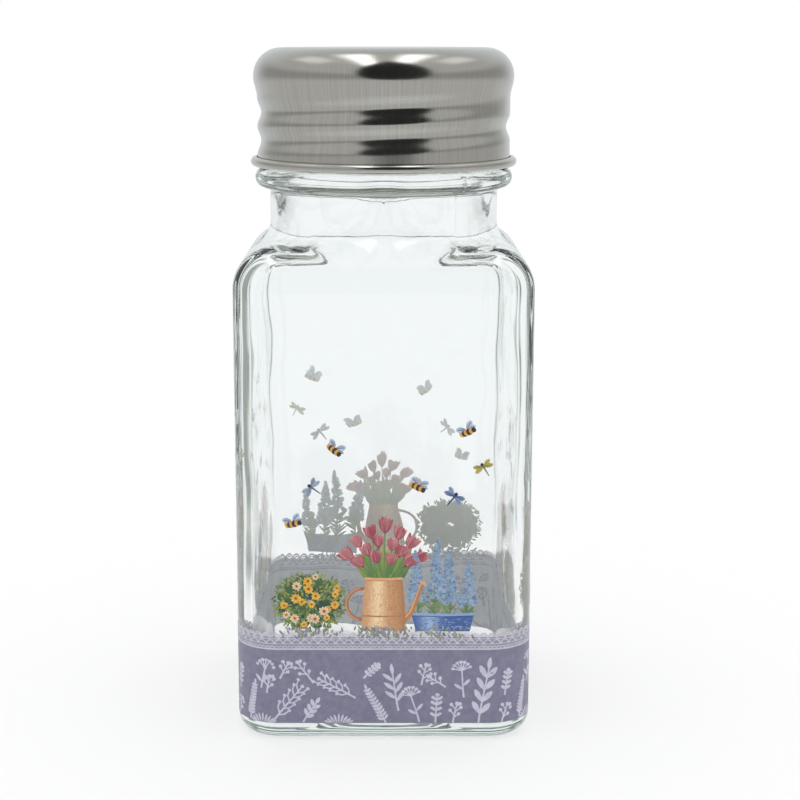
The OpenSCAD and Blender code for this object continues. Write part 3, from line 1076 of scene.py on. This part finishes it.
@dataclass
class GardenPicture:
    """One garden picture on each face: a daisy bush, a watering can of tulips, a trough of blue spikes, bees."""

    skin: PrintedSkin
    base: float = 17.3
    bush_r: float = 4.4
    can_w: float = 6.5
    can_h: float = 8.0
    spike_h: float = 14.0
    finish: PaintedInk = field(default_factory=PaintedInk)
    dice: random.Random = field(default_factory=lambda: random.Random(7))

    def pick(self, *colours: str) -> tuple:
        """Picks one of some hex colours and lets it stray a little towards another."""
        return mixed(self.dice.choice(colours), self.dice.choice(colours), self.dice.random() * 0.6)

    def daisy_bush(self) -> Sketch:
        """Draws the round green bush with its yellow and white daisies, standing on the origin."""
        page, r = Sketch(), self.bush_r
        for i in range(24):
            a, d = math.pi * 2.0 * i / 24, r * (0.75 if i % 2 else 0.35)
            page.blob((d * math.cos(a) * 1.14, r * 1.02 + d * math.sin(a) * 0.95), 1.2,
                      self.pick("#33503f", "#48653a", "#2f4a44"), 0.014 + 0.0001 * i, 0.85, a, 7)
        for i in range(380):
            a = self.dice.uniform(0.0, math.pi * 2.0)
            d = math.sqrt(self.dice.random()) * r
            x, y = d * math.cos(a) * 1.16, r * 1.02 + d * math.sin(a) * 0.98
            way = a + self.dice.uniform(-0.9, 0.9)
            length = self.dice.uniform(0.5, 1.05)
            page.leaf((x, y), (x + length * math.cos(way), y + length * math.sin(way)), 0.3,
                      self.pick("#33503a", "#55733e", "#7f9044", "#2f4a44"), 0.018 + 0.00004 * i, 0.5, 0.0,
                      self.pick("#7e9a5c", "#a3ad58", "#5f7f56", "#b9b766"))
        for i in range(20):
            a = self.dice.uniform(0.0, math.pi * 2.0)
            d = math.sqrt(self.dice.random()) * r * 0.92
            self.daisy(page, (d * math.cos(a) * 1.14, r * 1.05 + d * math.sin(a)), self.dice.uniform(0.5, 0.8),
                       0.034 + 0.0003 * i)
        return page

    def daisy(self, page: Sketch, place: Place, r: float, level: float) -> None:
        """Adds one daisy to a page.

        Args:
            page: The sketch that takes it.
            place: Its middle.
            r: Its radius.
            level: Its height over the glass.
        """
        start = self.dice.uniform(0.0, 1.0)
        petal = ("#f0c63a", "#f3dc6e", "#e7a62e") if self.dice.random() < 0.7 else ("#f4efdf", "#e5dccb")
        for i in range(9):
            a = start + math.pi * 2.0 * i / 9
            reach = r * self.dice.uniform(0.85, 1.1)
            page.leaf(place, (place[0] + reach * math.cos(a), place[1] + reach * math.sin(a)), r * 0.5,
                      self.pick("#c98a2c", "#d99c38"), level + 0.00005 * (i % 3), 0.65, 0.25, self.pick(*petal))
        page.blob(place, r * 0.3, self.pick("#b4532a", "#8c4a26"), level + 0.00025, steps=7)

    def tulip(self, page: Sketch, foot: Place, lean: float, level: float) -> None:
        """Adds one tulip's head to a page, petal by petal, each with a few lighter and darker streaks.

        Args:
            page: The sketch that takes it.
            foot: Where the head sits on its stem.
            lean: How far it leans over, in radians.
            level: Its height over the glass.
        """
        length = self.dice.uniform(2.0, 2.7)
        for k, (off, width) in enumerate(((-0.62, 0.85), (0.62, 0.85), (-0.3, 1.1), (0.34, 1.05), (0.0, 1.0))):
            way = lean + off * 0.72
            run = Vector((math.sin(way), math.cos(way)))
            side = Vector((run.y, -run.x))
            start = Vector(foot) - run * 0.15
            reach = length * self.dice.uniform(0.88, 1.06)
            page.leaf(tuple(start), tuple(start + run * reach), width, self.pick("#7c2c40", "#94404f"),
                      level + 0.0003 * k, 0.5, 0.08, self.pick("#b9606c", "#c98288", "#a94c5a", "#d09a98"))
            for i in range(4):
                off_line = (i - 1.5) * 0.2 * width
                page.ribbon([tuple(start + run * reach * 0.18 + side * off_line * 0.6),
                             tuple(start + run * reach * 0.5 + side * off_line),
                             tuple(start + run * reach * 0.86 + side * off_line * 0.6)], 0.09,
                            self.pick("#8a3446", "#d8a3a2", "#a84a58", "#c4737b"), level + 0.0003 * k + 0.00012, 0.4)

    def tulips(self) -> Sketch:
        """Draws the rose tulips and their leaves as they stand up out of the can, whose rim is the origin."""
        page = Sketch()
        for i in range(34):
            x = self.dice.uniform(-2.5, 2.5)
            lean = x * 0.3 + self.dice.uniform(-0.5, 0.5)
            page.leaf((x, -0.3), (x + lean * 2.0, self.dice.uniform(2.0, 5.6)), 0.7,
                      self.pick("#3f6142", "#547a45", "#3c5e45"), 0.018 + 0.00018 * i, 0.35, 0.0,
                      self.pick("#8aa356", "#6c8f50", "#a9b45c"))
        heads = [(-4.5, 3.0, -0.85), (-3.4, 4.9, -0.55), (-1.7, 6.2, -0.25), (0.2, 7.0, 0.05), (2.0, 6.0, 0.3),
                 (3.5, 4.7, 0.6), (4.7, 2.8, 0.9), (-3.0, 1.9, -0.7), (3.1, 1.9, 0.7), (-2.2, 3.6, -0.4),
                 (2.3, 3.4, 0.4), (-0.7, 4.9, -0.1), (1.2, 4.4, 0.15), (-1.0, 2.5, -0.2), (0.9, 2.2, 0.2)]
        for i, (x, y, lean) in enumerate(heads):
            page.ribbon([(x * 0.3, -0.2), (x * 0.75, y * 0.5), (x, y)], 0.2,
                        self.pick("#5b8048", "#7f9a4c"), 0.0248 + 0.00004 * i)
            self.tulip(page, (x, y), lean, 0.0256 + 0.00115 * i)
        return page

    def watering_can(self) -> Sketch:
        """Draws the terracotta watering can as side-by-side strokes, its foot on the origin."""
        page, w, h = Sketch(), self.can_w, self.can_h
        steps = 26
        for i in range(steps):
            t = (i + 0.5) / steps * 2.0 - 1.0
            glow = math.exp(-((t + 0.3) / 0.38) ** 2)
            tone = mixed("#c48f63", "#f0d3a8", min(1.0, glow * 0.9 + self.dice.uniform(0.0, 0.1)))
            dark = tuple(a + (b - a) * max(0.0, t - 0.35) * 0.8 for a, b in zip(tone, linear("#96603f")))
            page.ribbon([(t * w * 0.5, 0.0), (t * w * 0.47, h * 0.5), (t * w * 0.41, h)],
                        w / steps * 1.35, dark, 0.0435 + 0.00005 * (i % 3))
        for i in range(110):
            x, y = self.dice.uniform(-0.42, 0.42), self.dice.uniform(0.05, 0.93)
            tone = self.pick("#e3b685", "#d9a877") if x < 0.05 else self.pick("#bd8357", "#c98f61")
            length = self.dice.uniform(0.25, 0.7)
            page.leaf((x * w * (1.0 - 0.15 * y), y * h), (x * w * (1.0 - 0.15 * y) + 0.06, y * h + length),
                      0.16, tone, 0.0437 + 0.000005 * i, 0.5, 0.1)
        rim = [(t * w * 0.43, h + 0.1 - 0.12 * (1.0 - t * t)) for t in (-1, -0.6, -0.2, 0.2, 0.6, 1)]
        page.ribbon(rim, 0.42, linear("#dca877"), 0.0447)
        page.ribbon([(x, y - 0.22) for x, y in rim], 0.12, linear("#8f583d"), 0.0446)
        page.ribbon([(t * w * 0.49, h * 0.3 - 0.12 * (1.0 - t * t)) for t in (-1, -0.6, -0.2, 0.2, 0.6, 1)], 0.22,
                    linear("#b27a55"), 0.0448)
        spout = [(w * 0.42, h * 0.18), (w * 0.62, h * 0.36), (w * 0.74, h * 0.62), (w * 0.86, h * 0.9)]
        page.ribbon(spout, 0.95, linear("#b97c52"), 0.0429, 0.55)
        page.ribbon([(x - 0.14, y + 0.08) for x, y in spout], 0.22, linear("#e0b182"), 0.0431, 0.6)
        page.blob((w * 0.88, h * 0.93), 0.62, linear("#d8a477"), 0.0434, 0.42, -0.6)
        page.ribbon(arc(-w * 0.47, h * 0.52, h * 0.3, 85, 270, 12), 0.5, linear("#a5694a"), 0.0429)
        page.ribbon(arc(-w * 0.47, h * 0.52, h * 0.31, 100, 255, 12), 0.14, linear("#d8a071"), 0.0431)
        return page

    def spike(self, height: float) -> Sketch:
        """Draws one blue flower spike with its foot at the origin."""
        page = Sketch()
        lean = self.dice.uniform(-0.6, 0.6)
        page.ribbon([(0.0, 0.0), (lean * 0.3, height * 0.5), (lean, height)], 0.3,
                    linear("#5d7d52"), 0.018, 0.4)
        for i in range(26):
            y = height * self.dice.uniform(0.0, 0.42)
            way = self.dice.choice((-1, 1)) * self.dice.uniform(0.2, 1.1)
            reach = self.dice.uniform(0.9, 1.9)
            page.leaf((0.0, y), (reach * math.sin(way), y + reach * math.cos(way)), 0.34,
                      self.pick("#3f5d48", "#55754c"), 0.0195 + 0.0001 * i, 0.4, 0.0,
                      self.pick("#88a06a", "#6b8f70", "#a3b06a"))
        count = int(height * 13.0)
        for i in range(count):
            t = 0.28 + 0.72 * i / count
            spread = 1.15 * (1.0 - (t - 0.28) / 0.72) ** 0.75 + 0.08
            x = lean * t + self.dice.uniform(-1.0, 1.0) * spread
            y = height * t + self.dice.uniform(-0.25, 0.25)
            tone = self.pick("#4b6a92", "#6f8fb4", "#3b5580", "#8aa6c4", "#5f8088", "#2f4470")
            pale = self.pick("#9db4cf", "#7f9fbe", "#b3c3d6")
            turn = self.dice.uniform(0.0, 1.5)
            level = 0.0225 + 0.0155 * i / count
            for k in range(5):
                a = turn + k * math.pi * 0.4
                reach = 0.4 * (1.1 - 0.6 * t)
                page.leaf((x, y), (x + reach * math.cos(a), y + reach * math.sin(a)), 0.26, tone,
                          level + 0.00002 * k, 0.6, 0.25, pale)
        return page

    def trough(self) -> Sketch:
        """Draws the cobalt trough in which the spikes stand, its foot on the origin."""
        page = Sketch()
        for i in range(30):
            t = (i + 0.5) / 30 * 2.0 - 1.0
            glow = math.exp(-((t + 0.45) / 0.3) ** 2)
            page.ribbon([(t * 3.9, 0.0), (t * 4.5, 2.6)], 0.42, mixed("#41609c", "#a5c0e0", glow * 0.8),
                        0.0405 + 0.0001 * (i % 3))
        for i in range(70):
            x, y = self.dice.uniform(-3.9, 3.9), self.dice.uniform(0.1, 2.0)
            page.leaf((x, y), (x + self.dice.uniform(0.3, 0.8), y + 0.05), 0.14,
                      self.pick("#5f82bc", "#33508a", "#8fb0d8"), 0.0409 + 0.00001 * i, 0.5, 0.1)
        page.ribbon([(-4.6, 2.65), (0.0, 2.5), (4.6, 2.65)], 0.42, linear("#86a6d2"), 0.0418)
        page.ribbon([(-4.5, 2.38), (0.0, 2.23), (4.5, 2.38)], 0.12, linear("#2c4578"), 0.0417)
        return page

    def bee(self) -> Sketch:
        """Draws one bee with its middle at the origin."""
        page = Sketch()
        wings = ((0.6, "#7f93b4", 1.0), (2.5, "#6f84a8", 1.0), (0.1, "#a9b9d0", 0.8), (3.05, "#93a6c2", 0.8))
        for i, (way, colour, reach) in enumerate(wings):
            page.leaf((0.0, 0.1), (1.05 * reach * math.cos(way), 0.1 + 1.05 * reach * math.sin(way)), 0.6,
                      linear(colour), 0.03 + 0.0004 * i, 0.65, 0.2, linear("#c6d1e0"))
            page.ribbon([(0.0, 0.1), (0.9 * reach * math.cos(way), 0.1 + 0.9 * reach * math.sin(way))], 0.06,
                        linear("#3f4a66"), 0.0324 + 0.0002 * i)
        for i in range(6):
            tone = "#2b3247" if i % 2 else "#d9a035"
            page.blob((-0.62 + 0.24 * i, -0.04 * i), 0.3 - 0.03 * abs(i - 2.5), linear(tone), 0.034 + 0.0004 * i,
                      1.25, 0.0, 8)
        for way in (0.5, 1.0):
            page.ribbon([(0.66, -0.1), (0.66 + 0.35 * math.cos(way), -0.1 + 0.35 * math.sin(way))], 0.05,
                        linear("#2b3247"), 0.0372)
        return page

    def dragonfly(self, tone: str, wing: str) -> Sketch:
        """Draws one dragonfly with its middle at the origin.

        Args:
            tone: The colour of its body.
            wing: The colour of its wings.

        Returns:
            The sketch.
        """
        page = Sketch()
        for i, way in enumerate((0.42, -0.22, math.pi - 0.42, math.pi + 0.22)):
            end = (1.4 * math.cos(way), 0.35 + 1.4 * math.sin(way))
            page.leaf((0.0, 0.35), end, 0.62, self.pick(wing, tone), 0.03 + 0.0004 * i, 0.7, 0.2, linear(wing))
            page.ribbon([(0.0, 0.35), (end[0] * 0.9, 0.35 + (end[1] - 0.35) * 0.9)], 0.07, linear(tone),
                        0.032 + 0.0002 * i)
        page.ribbon([(0.0, 0.6), (0.05, 0.0), (0.1, -1.15)], 0.34, linear(tone), 0.034, 0.35)
        page.blob((0.0, 0.72), 0.24, linear("#262c3e"), 0.036, 1.0)
        return page

    def page(self) -> Sketch:
        """Draws the whole picture of one face, its origin under the middle and on the lace.

        Returns:
            The sketch.
        """
        page = Sketch()
        for i in range(240):
            x = self.dice.choice((-11.0, -1.0, 0.5, 8.7)) + self.dice.gauss(0.0, 2.2)
            y = self.dice.uniform(-1.3, 0.3)
            page.leaf((x, y), (x + self.dice.uniform(-0.5, 0.5), y + self.dice.uniform(0.3, 0.9)), 0.3,
                      self.pick("#77708f", "#625d80", "#6f7a58", "#8f9a62"), 0.0452 + 0.000005 * i, 0.4, 0.1,
                      self.pick("#a7a1b8", "#8c86a0", "#a3ab76"))
        page.add(self.daisy_bush(), (-self.bush_r - self.can_w, 0.0))
        page.add(self.tulips(), (0.0, self.can_h))
        page.add(self.watering_can())
        for i in range(4):
            page.add(self.spike(self.spike_h * (1.0 - 0.13 * abs(i - 1)) - 1.6),
                     (self.can_w / 2.0 + 2.4 * (i + 0.75), 1.6))
        page.add(self.trough(), (8.7, 0.0))
        for x, y, turn in ((-13.2, 16.5, 0.4), (5.0, 22.0, -0.3), (12.1, 30.2, 0.6), (-7.1, 27.5, -0.5)):
            page.add(self.bee(), (x, y), turn, 1.5)
        page.add(self.dragonfly("#39507a", "#8fa6c6"), (10.0, 20.2), -0.7, 1.15)
        page.add(self.dragonfly("#7a7f42", "#c9b765"), (14.6, 24.6), 0.5, 1.05)
        page.add(self.dragonfly("#5a6a86", "#a5b4c8"), (-10.2, 21.6), 0.9, 1.1)
        return page

    def build(self) -> list[bpy.types.Object]:
        """Builds the pictures of the four faces.

        Returns:
            The new pieces.
        """
        one, material = self.page(), self.finish.material()
        pieces = []
        for quarter, side in enumerate(("front", "right", "back", "left")):
            page = Sketch()
            page.add(one, (quarter * self.skin.lap, self.base))
            piece = self.skin.piece(page, f"garden_{side}", material, "#f6f4f0", 0.66)
            pieces.append(piece)
        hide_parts("print_pictures")
        return pieces


# --------------------------------------------------------------------------------------------- the cap


@dataclass
class RolledCap:
    """The drawn steel screw cap: a flat crown, a round edge, a flare, a skirt with a rolled thread and a curl."""

    sheet: float = 0.35
    skirt_r: float = 19.1
    crown_r: float = 19.65
    crown_top: float = 101.7
    edge_r: float = 4.2
    flare_h: float = 3.2
    curl_r: float = 0.7
    curl_z: float = 84.85
    curl_end: float = 105.0
    steps: int = 192
    groove: Thread = field(default_factory=lambda: Thread(0.6, 4.23, 1.65, 85.8))
    finish: DrawnSteel = field(default_factory=DrawnSteel)

    def section(self, direction: float, inset: float) -> list[Place]:
        """Draws one face of the sheet, from the middle of the crown down to the end of the curl.

        Args:
            direction: The direction of the section in degrees.
            inset: How far the face lies inside the outer one.

        Returns:
            The section's points, as radius and height.
        """
        crown_z = self.crown_top - self.edge_r
        corner = self.crown_r - self.edge_r
        crown = [(r, self.crown_top - inset) for r in [0.2 + (corner - 0.2) * i / 8 for i in range(8)]]
        edge = arc(corner, crown_z, self.edge_r - inset, 90, 0, 15)
        flare = []
        for i in range(1, 11):
            t = i / 10.0
            flare.append((self.skirt_r - inset + (self.crown_r - self.skirt_r) * (1.0 + math.cos(math.pi * t)) / 2.0,
                          crown_z - self.flare_h * t))
        low, high = self.curl_z + 0.1, crown_z - self.flare_h
        skirt = [(self.skirt_r - inset, high + (low - high) * i / 44) for i in range(1, 45)]
        line = crown + edge + flare + skirt
        line = [(r - self.groove.gain(direction, z) * (z < crown_z), z) for r, z in line]
        curl_x = self.skirt_r - self.sheet + self.curl_r
        return line + arc(curl_x, self.curl_z, self.curl_r - (self.sheet if inset == 0.0 else 0.0), -180, self.curl_end, 17)

    def build(self) -> bpy.types.Object:
        """Builds the cap as one closed sheet and dresses it.

        Returns:
            The cap piece.
        """
        ways = [360.0 * i / self.steps for i in range(self.steps)]
        sections = [self.section(a, 0.0) + self.section(a, self.sheet)[::-1] for a in ways]
        rings = []
        for k in range(len(sections[0])):
            rings.append([Vector((s[k][0] * math.cos(math.radians(a)), s[k][0] * math.sin(math.radians(a)), s[k][1])) * MM
                          for a, s in zip(ways, sections)])
        piece = finish_piece(loft(rings), "rolled_cap", [self.finish.material()])
        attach(piece, "cap")
        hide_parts("screw_cap")
        return piece


@dataclass
class Closures:
    """The two plain pieces under the cap, which keep their CAD shape and get their own finish."""

    plastic: MouldedPlastic = field(default_factory=MouldedPlastic)
    foam: FoamedLiner = field(default_factory=FoamedLiner)

    def dress(self) -> None:
        """Gives the sifter insert and the sealing disc their materials."""
        for name, material in (("sifter_insert", self.plastic.material()), ("sealing_disc", self.foam.material())):
            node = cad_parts[name]
            node.data.materials.clear()
            node.data.materials.append(material)


# ------------------------------------------------------------------------------------------- the studio


@dataclass
class Studio:
    """A white light tent: a pale floor that fades out, a white surround, and a lens opening on the front."""

    lens: float = 80.73
    camera_place: tuple[float, float, float] = (0.0, -0.2746, 0.1036)
    tilt: float = 78.48
    shift: float = 0.0204
    floor_r: float = 0.5

    def camera(self) -> None:
        """Sets up the camera where the photograph was taken from."""
        data = bpy.data.cameras.new("camera")
        data.lens, data.sensor_width, data.shift_x = self.lens, 36.0, self.shift
        data.clip_start, data.clip_end = 0.01, 20.0
        camera = bpy.data.objects.new("camera", data)
        camera.location = self.camera_place
        camera.rotation_euler = Euler((math.radians(self.tilt), 0.0, 0.0))
        bpy.context.scene.collection.objects.link(camera)
        bpy.context.scene.camera = camera

    def floor(self) -> None:
        """Lays the pale floor, which fades into the white surround."""
        material, tree = new_material("pale_paper")
        place = add_node(tree, "ShaderNodeTexCoord").outputs["Object"]
        reach = add_node(tree, "ShaderNodeVectorMath", {"operation": "LENGTH"}, {0: place})
        fade = add_node(tree, "ShaderNodeMapRange", {"interpolation_type": "SMOOTHSTEP"}, {
            "Value": reach.outputs["Value"], "From Min": 0.03, "From Max": 0.16, "To Min": 1.0, "To Max": 0.0})
        paper = add_node(tree, "ShaderNodeBsdfDiffuse", {}, {"Color": linear("#fbfcfc")})
        glow = add_node(tree, "ShaderNodeEmission", {}, {"Color": (1.0, 1.0, 1.0, 1.0), "Strength": 1.0})
        path = add_node(tree, "ShaderNodeLightPath").outputs
        eye = add_node(tree, "ShaderNodeMath", {"operation": "MAXIMUM"}, {
            0: path["Is Camera Ray"], 1: path["Is Transmission Ray"]})
        white = add_node(tree, "ShaderNodeMath", {"operation": "MULTIPLY"}, {0: eye.outputs["Value"], 1: 0.6})
        lit = add_node(tree, "ShaderNodeMixShader", {}, {
            0: white.outputs["Value"], 1: paper.outputs["BSDF"], 2: glow.outputs["Emission"]})
        clear = add_node(tree, "ShaderNodeBsdfTransparent")
        both = add_node(tree, "ShaderNodeMixShader", {}, {
            0: fade.outputs["Result"], 1: clear.outputs["BSDF"], 2: lit.outputs["Shader"]})
        add_node(tree, "ShaderNodeOutputMaterial", {}, {"Surface": both.outputs["Shader"]})
        bm = bmesh.new()
        bmesh.ops.create_grid(bm, x_segments=8, y_segments=8, size=self.floor_r)
        floor = finish_piece(bm, "floor", [material])
        floor.location.z = -0.00002

    def surround(self) -> None:
        """Makes the tent: plain white to the eye, with dark gaps and a lens opening for glass and metal."""
        world = bpy.data.worlds.new("light_tent")
        bpy.context.scene.world = world
        world.use_nodes = True
        tree = world.node_tree
        tree.nodes.clear()
        way = add_node(tree, "ShaderNodeTexCoord").outputs["Generated"]
        parts = add_node(tree, "ShaderNodeSeparateXYZ", {}, {0: way})

        def maths(operation: str, one: NodeValue, other: NodeValue = 0.0) -> bpy.types.NodeSocket:
            """Works one sum on two values."""
            return add_node(tree, "ShaderNodeMath", {"operation": operation}, {0: one, 1: other}).outputs["Value"]

        def smooth(value: NodeValue, low: float, high: float) -> bpy.types.NodeSocket:
            """Rises softly from 0 at low to 1 at high."""
            return add_node(tree, "ShaderNodeMapRange", {"interpolation_type": "SMOOTHSTEP"}, {
                "Value": value, "From Min": low, "From Max": high}).outputs["Result"]

        def mix(share: NodeValue, one: NodeValue, other: NodeValue) -> bpy.types.NodeSocket:
            """Mixes two colours, with the given share of the other."""
            return add_node(tree, "ShaderNodeMix", {"data_type": "RGBA"}, {0: share, 6: one, 7: other}).outputs[2]

        x, y, z = (parts.outputs[axis] for axis in ("X", "Y", "Z"))
        azimuth = maths("ARCTAN2", x, maths("MULTIPLY", y, -1.0))   # 0 looks at -Y, the camera's side
        gaps = smooth(maths("COSINE", maths("MULTIPLY", azimuth, 8.0)), -0.62, -0.95)
        level = maths("MULTIPLY", smooth(z, -0.35, -0.1), smooth(z, 0.75, 0.5))
        gaps = maths("MULTIPLY", gaps, level)
        flank = maths("ABSOLUTE", maths("ADD", azimuth, 2.22))   # 0 looks back past the left side
        sides = maths("MULTIPLY", smooth(flank, 0.3, 0.14), 0.9)
        seen_through = mix(sides, (0.92, 0.955, 0.96, 1.0), linear("#858f86"))
        seen_through = mix(gaps, seen_through, linear("#89958d"))
        across = maths("DIVIDE", maths("ABSOLUTE", maths("SUBTRACT", azimuth, 0.165)), 0.6)
        upward = maths("DIVIDE", maths("ABSOLUTE", maths("SUBTRACT", z, 0.42)), 0.52)
        across, upward = maths("POWER", across, 2.4), maths("POWER", upward, 2.4)
        opening = smooth(maths("ADD", across, upward), 1.2, 0.75)
        roll = maths("ABSOLUTE", maths("ARCTAN2", maths("SUBTRACT", x, 0.02), z))   # 0 looks straight up
        boxes = maths("MULTIPLY", smooth(roll, 0.08, 0.15), smooth(roll, 0.42, 0.25))
        boxes = maths("MULTIPLY", boxes, maths("MULTIPLY", smooth(y, 0.45, 0.1), smooth(z, 0.6, 0.8)))
        lens = maths("MULTIPLY", smooth(maths("ABSOLUTE", maths("SUBTRACT", roll, 0.66)), 0.22, 0.05),
                     smooth(maths("ABSOLUTE", maths("SUBTRACT", y, 0.1)), 0.4, 0.1))
        tent = mix(smooth(y, 0.35, 0.9), (0.66, 0.66, 0.65, 1.0), (0.78, 0.81, 0.83, 1.0))
        belt = maths("MULTIPLY", smooth(maths("ABSOLUTE", maths("SUBTRACT", z, 0.14)), 0.34, 0.05), smooth(y, 0.95, 0.5))
        tent = mix(belt, tent, (0.42, 0.42, 0.41, 1.0))
        tent = mix(maths("MULTIPLY", smooth(roll, 1.3, 0.9), smooth(y, 0.6, 0.2)), tent, (0.62, 0.62, 0.61, 1.0))
        tent = mix(lens, tent, (1.15, 1.15, 1.13, 1.0))
        tent = mix(boxes, tent, (2.6, 2.6, 2.6, 1.0))
        mirrored = mix(opening, tent, (0.02, 0.02, 0.02, 1.0))
        light = mix(smooth(z, -0.2, 0.9), (0.9, 0.9, 0.9, 1.0), (1.05, 1.05, 1.05, 1.0))
        path = add_node(tree, "ShaderNodeLightPath").outputs
        shown = mix(path["Is Glossy Ray"], light, mirrored)
        # what reaches the back of the print has come through two walls, so it starts a little stronger
        scattered = maths("MINIMUM", path["Diffuse Depth"], 1.0)
        inward = mix(scattered, seen_through, (1.75, 1.8, 1.8, 1.0))
        shown = mix(path["Is Transmission Ray"], shown, inward)
        shown = mix(path["Is Camera Ray"], shown, (1.0, 1.0, 1.0, 1.0))
        background = add_node(tree, "ShaderNodeBackground", {}, {"Color": shown, "Strength": 1.0})
        add_node(tree, "ShaderNodeOutputWorld", {}, {"Surface": background.outputs["Background"]})

    def build(self) -> None:
        """Sets up the camera, the floor and the surround, and lets light go deep into the glass."""
        self.camera()
        self.floor()
        self.surround()
        paths = bpy.context.scene.cycles
        paths.max_bounces, paths.transmission_bounces = 40, 40
        paths.glossy_bounces, paths.diffuse_bounces = 16, 8
        bpy.context.scene.view_settings.view_transform = "Standard"


def main() -> None:
    """Builds the jar, its print and its cap, and the studio round them."""
    logging.basicConfig(level=logging.INFO, format="%(name)s: %(message)s")
    Studio().build()
    jar = GlassJar()
    skin = PrintedSkin(jar)
    pieces = [jar.build()]
    pieces += SprigBand(skin).build()
    pieces += GardenPicture(skin).build()
    pieces.append(RolledCap().build())
    Closures().dress()
    for piece in pieces:
        LOG.info("%s: %d faces", piece.name, len(piece.data.polygons))


if __name__ == "__main__":
    main()
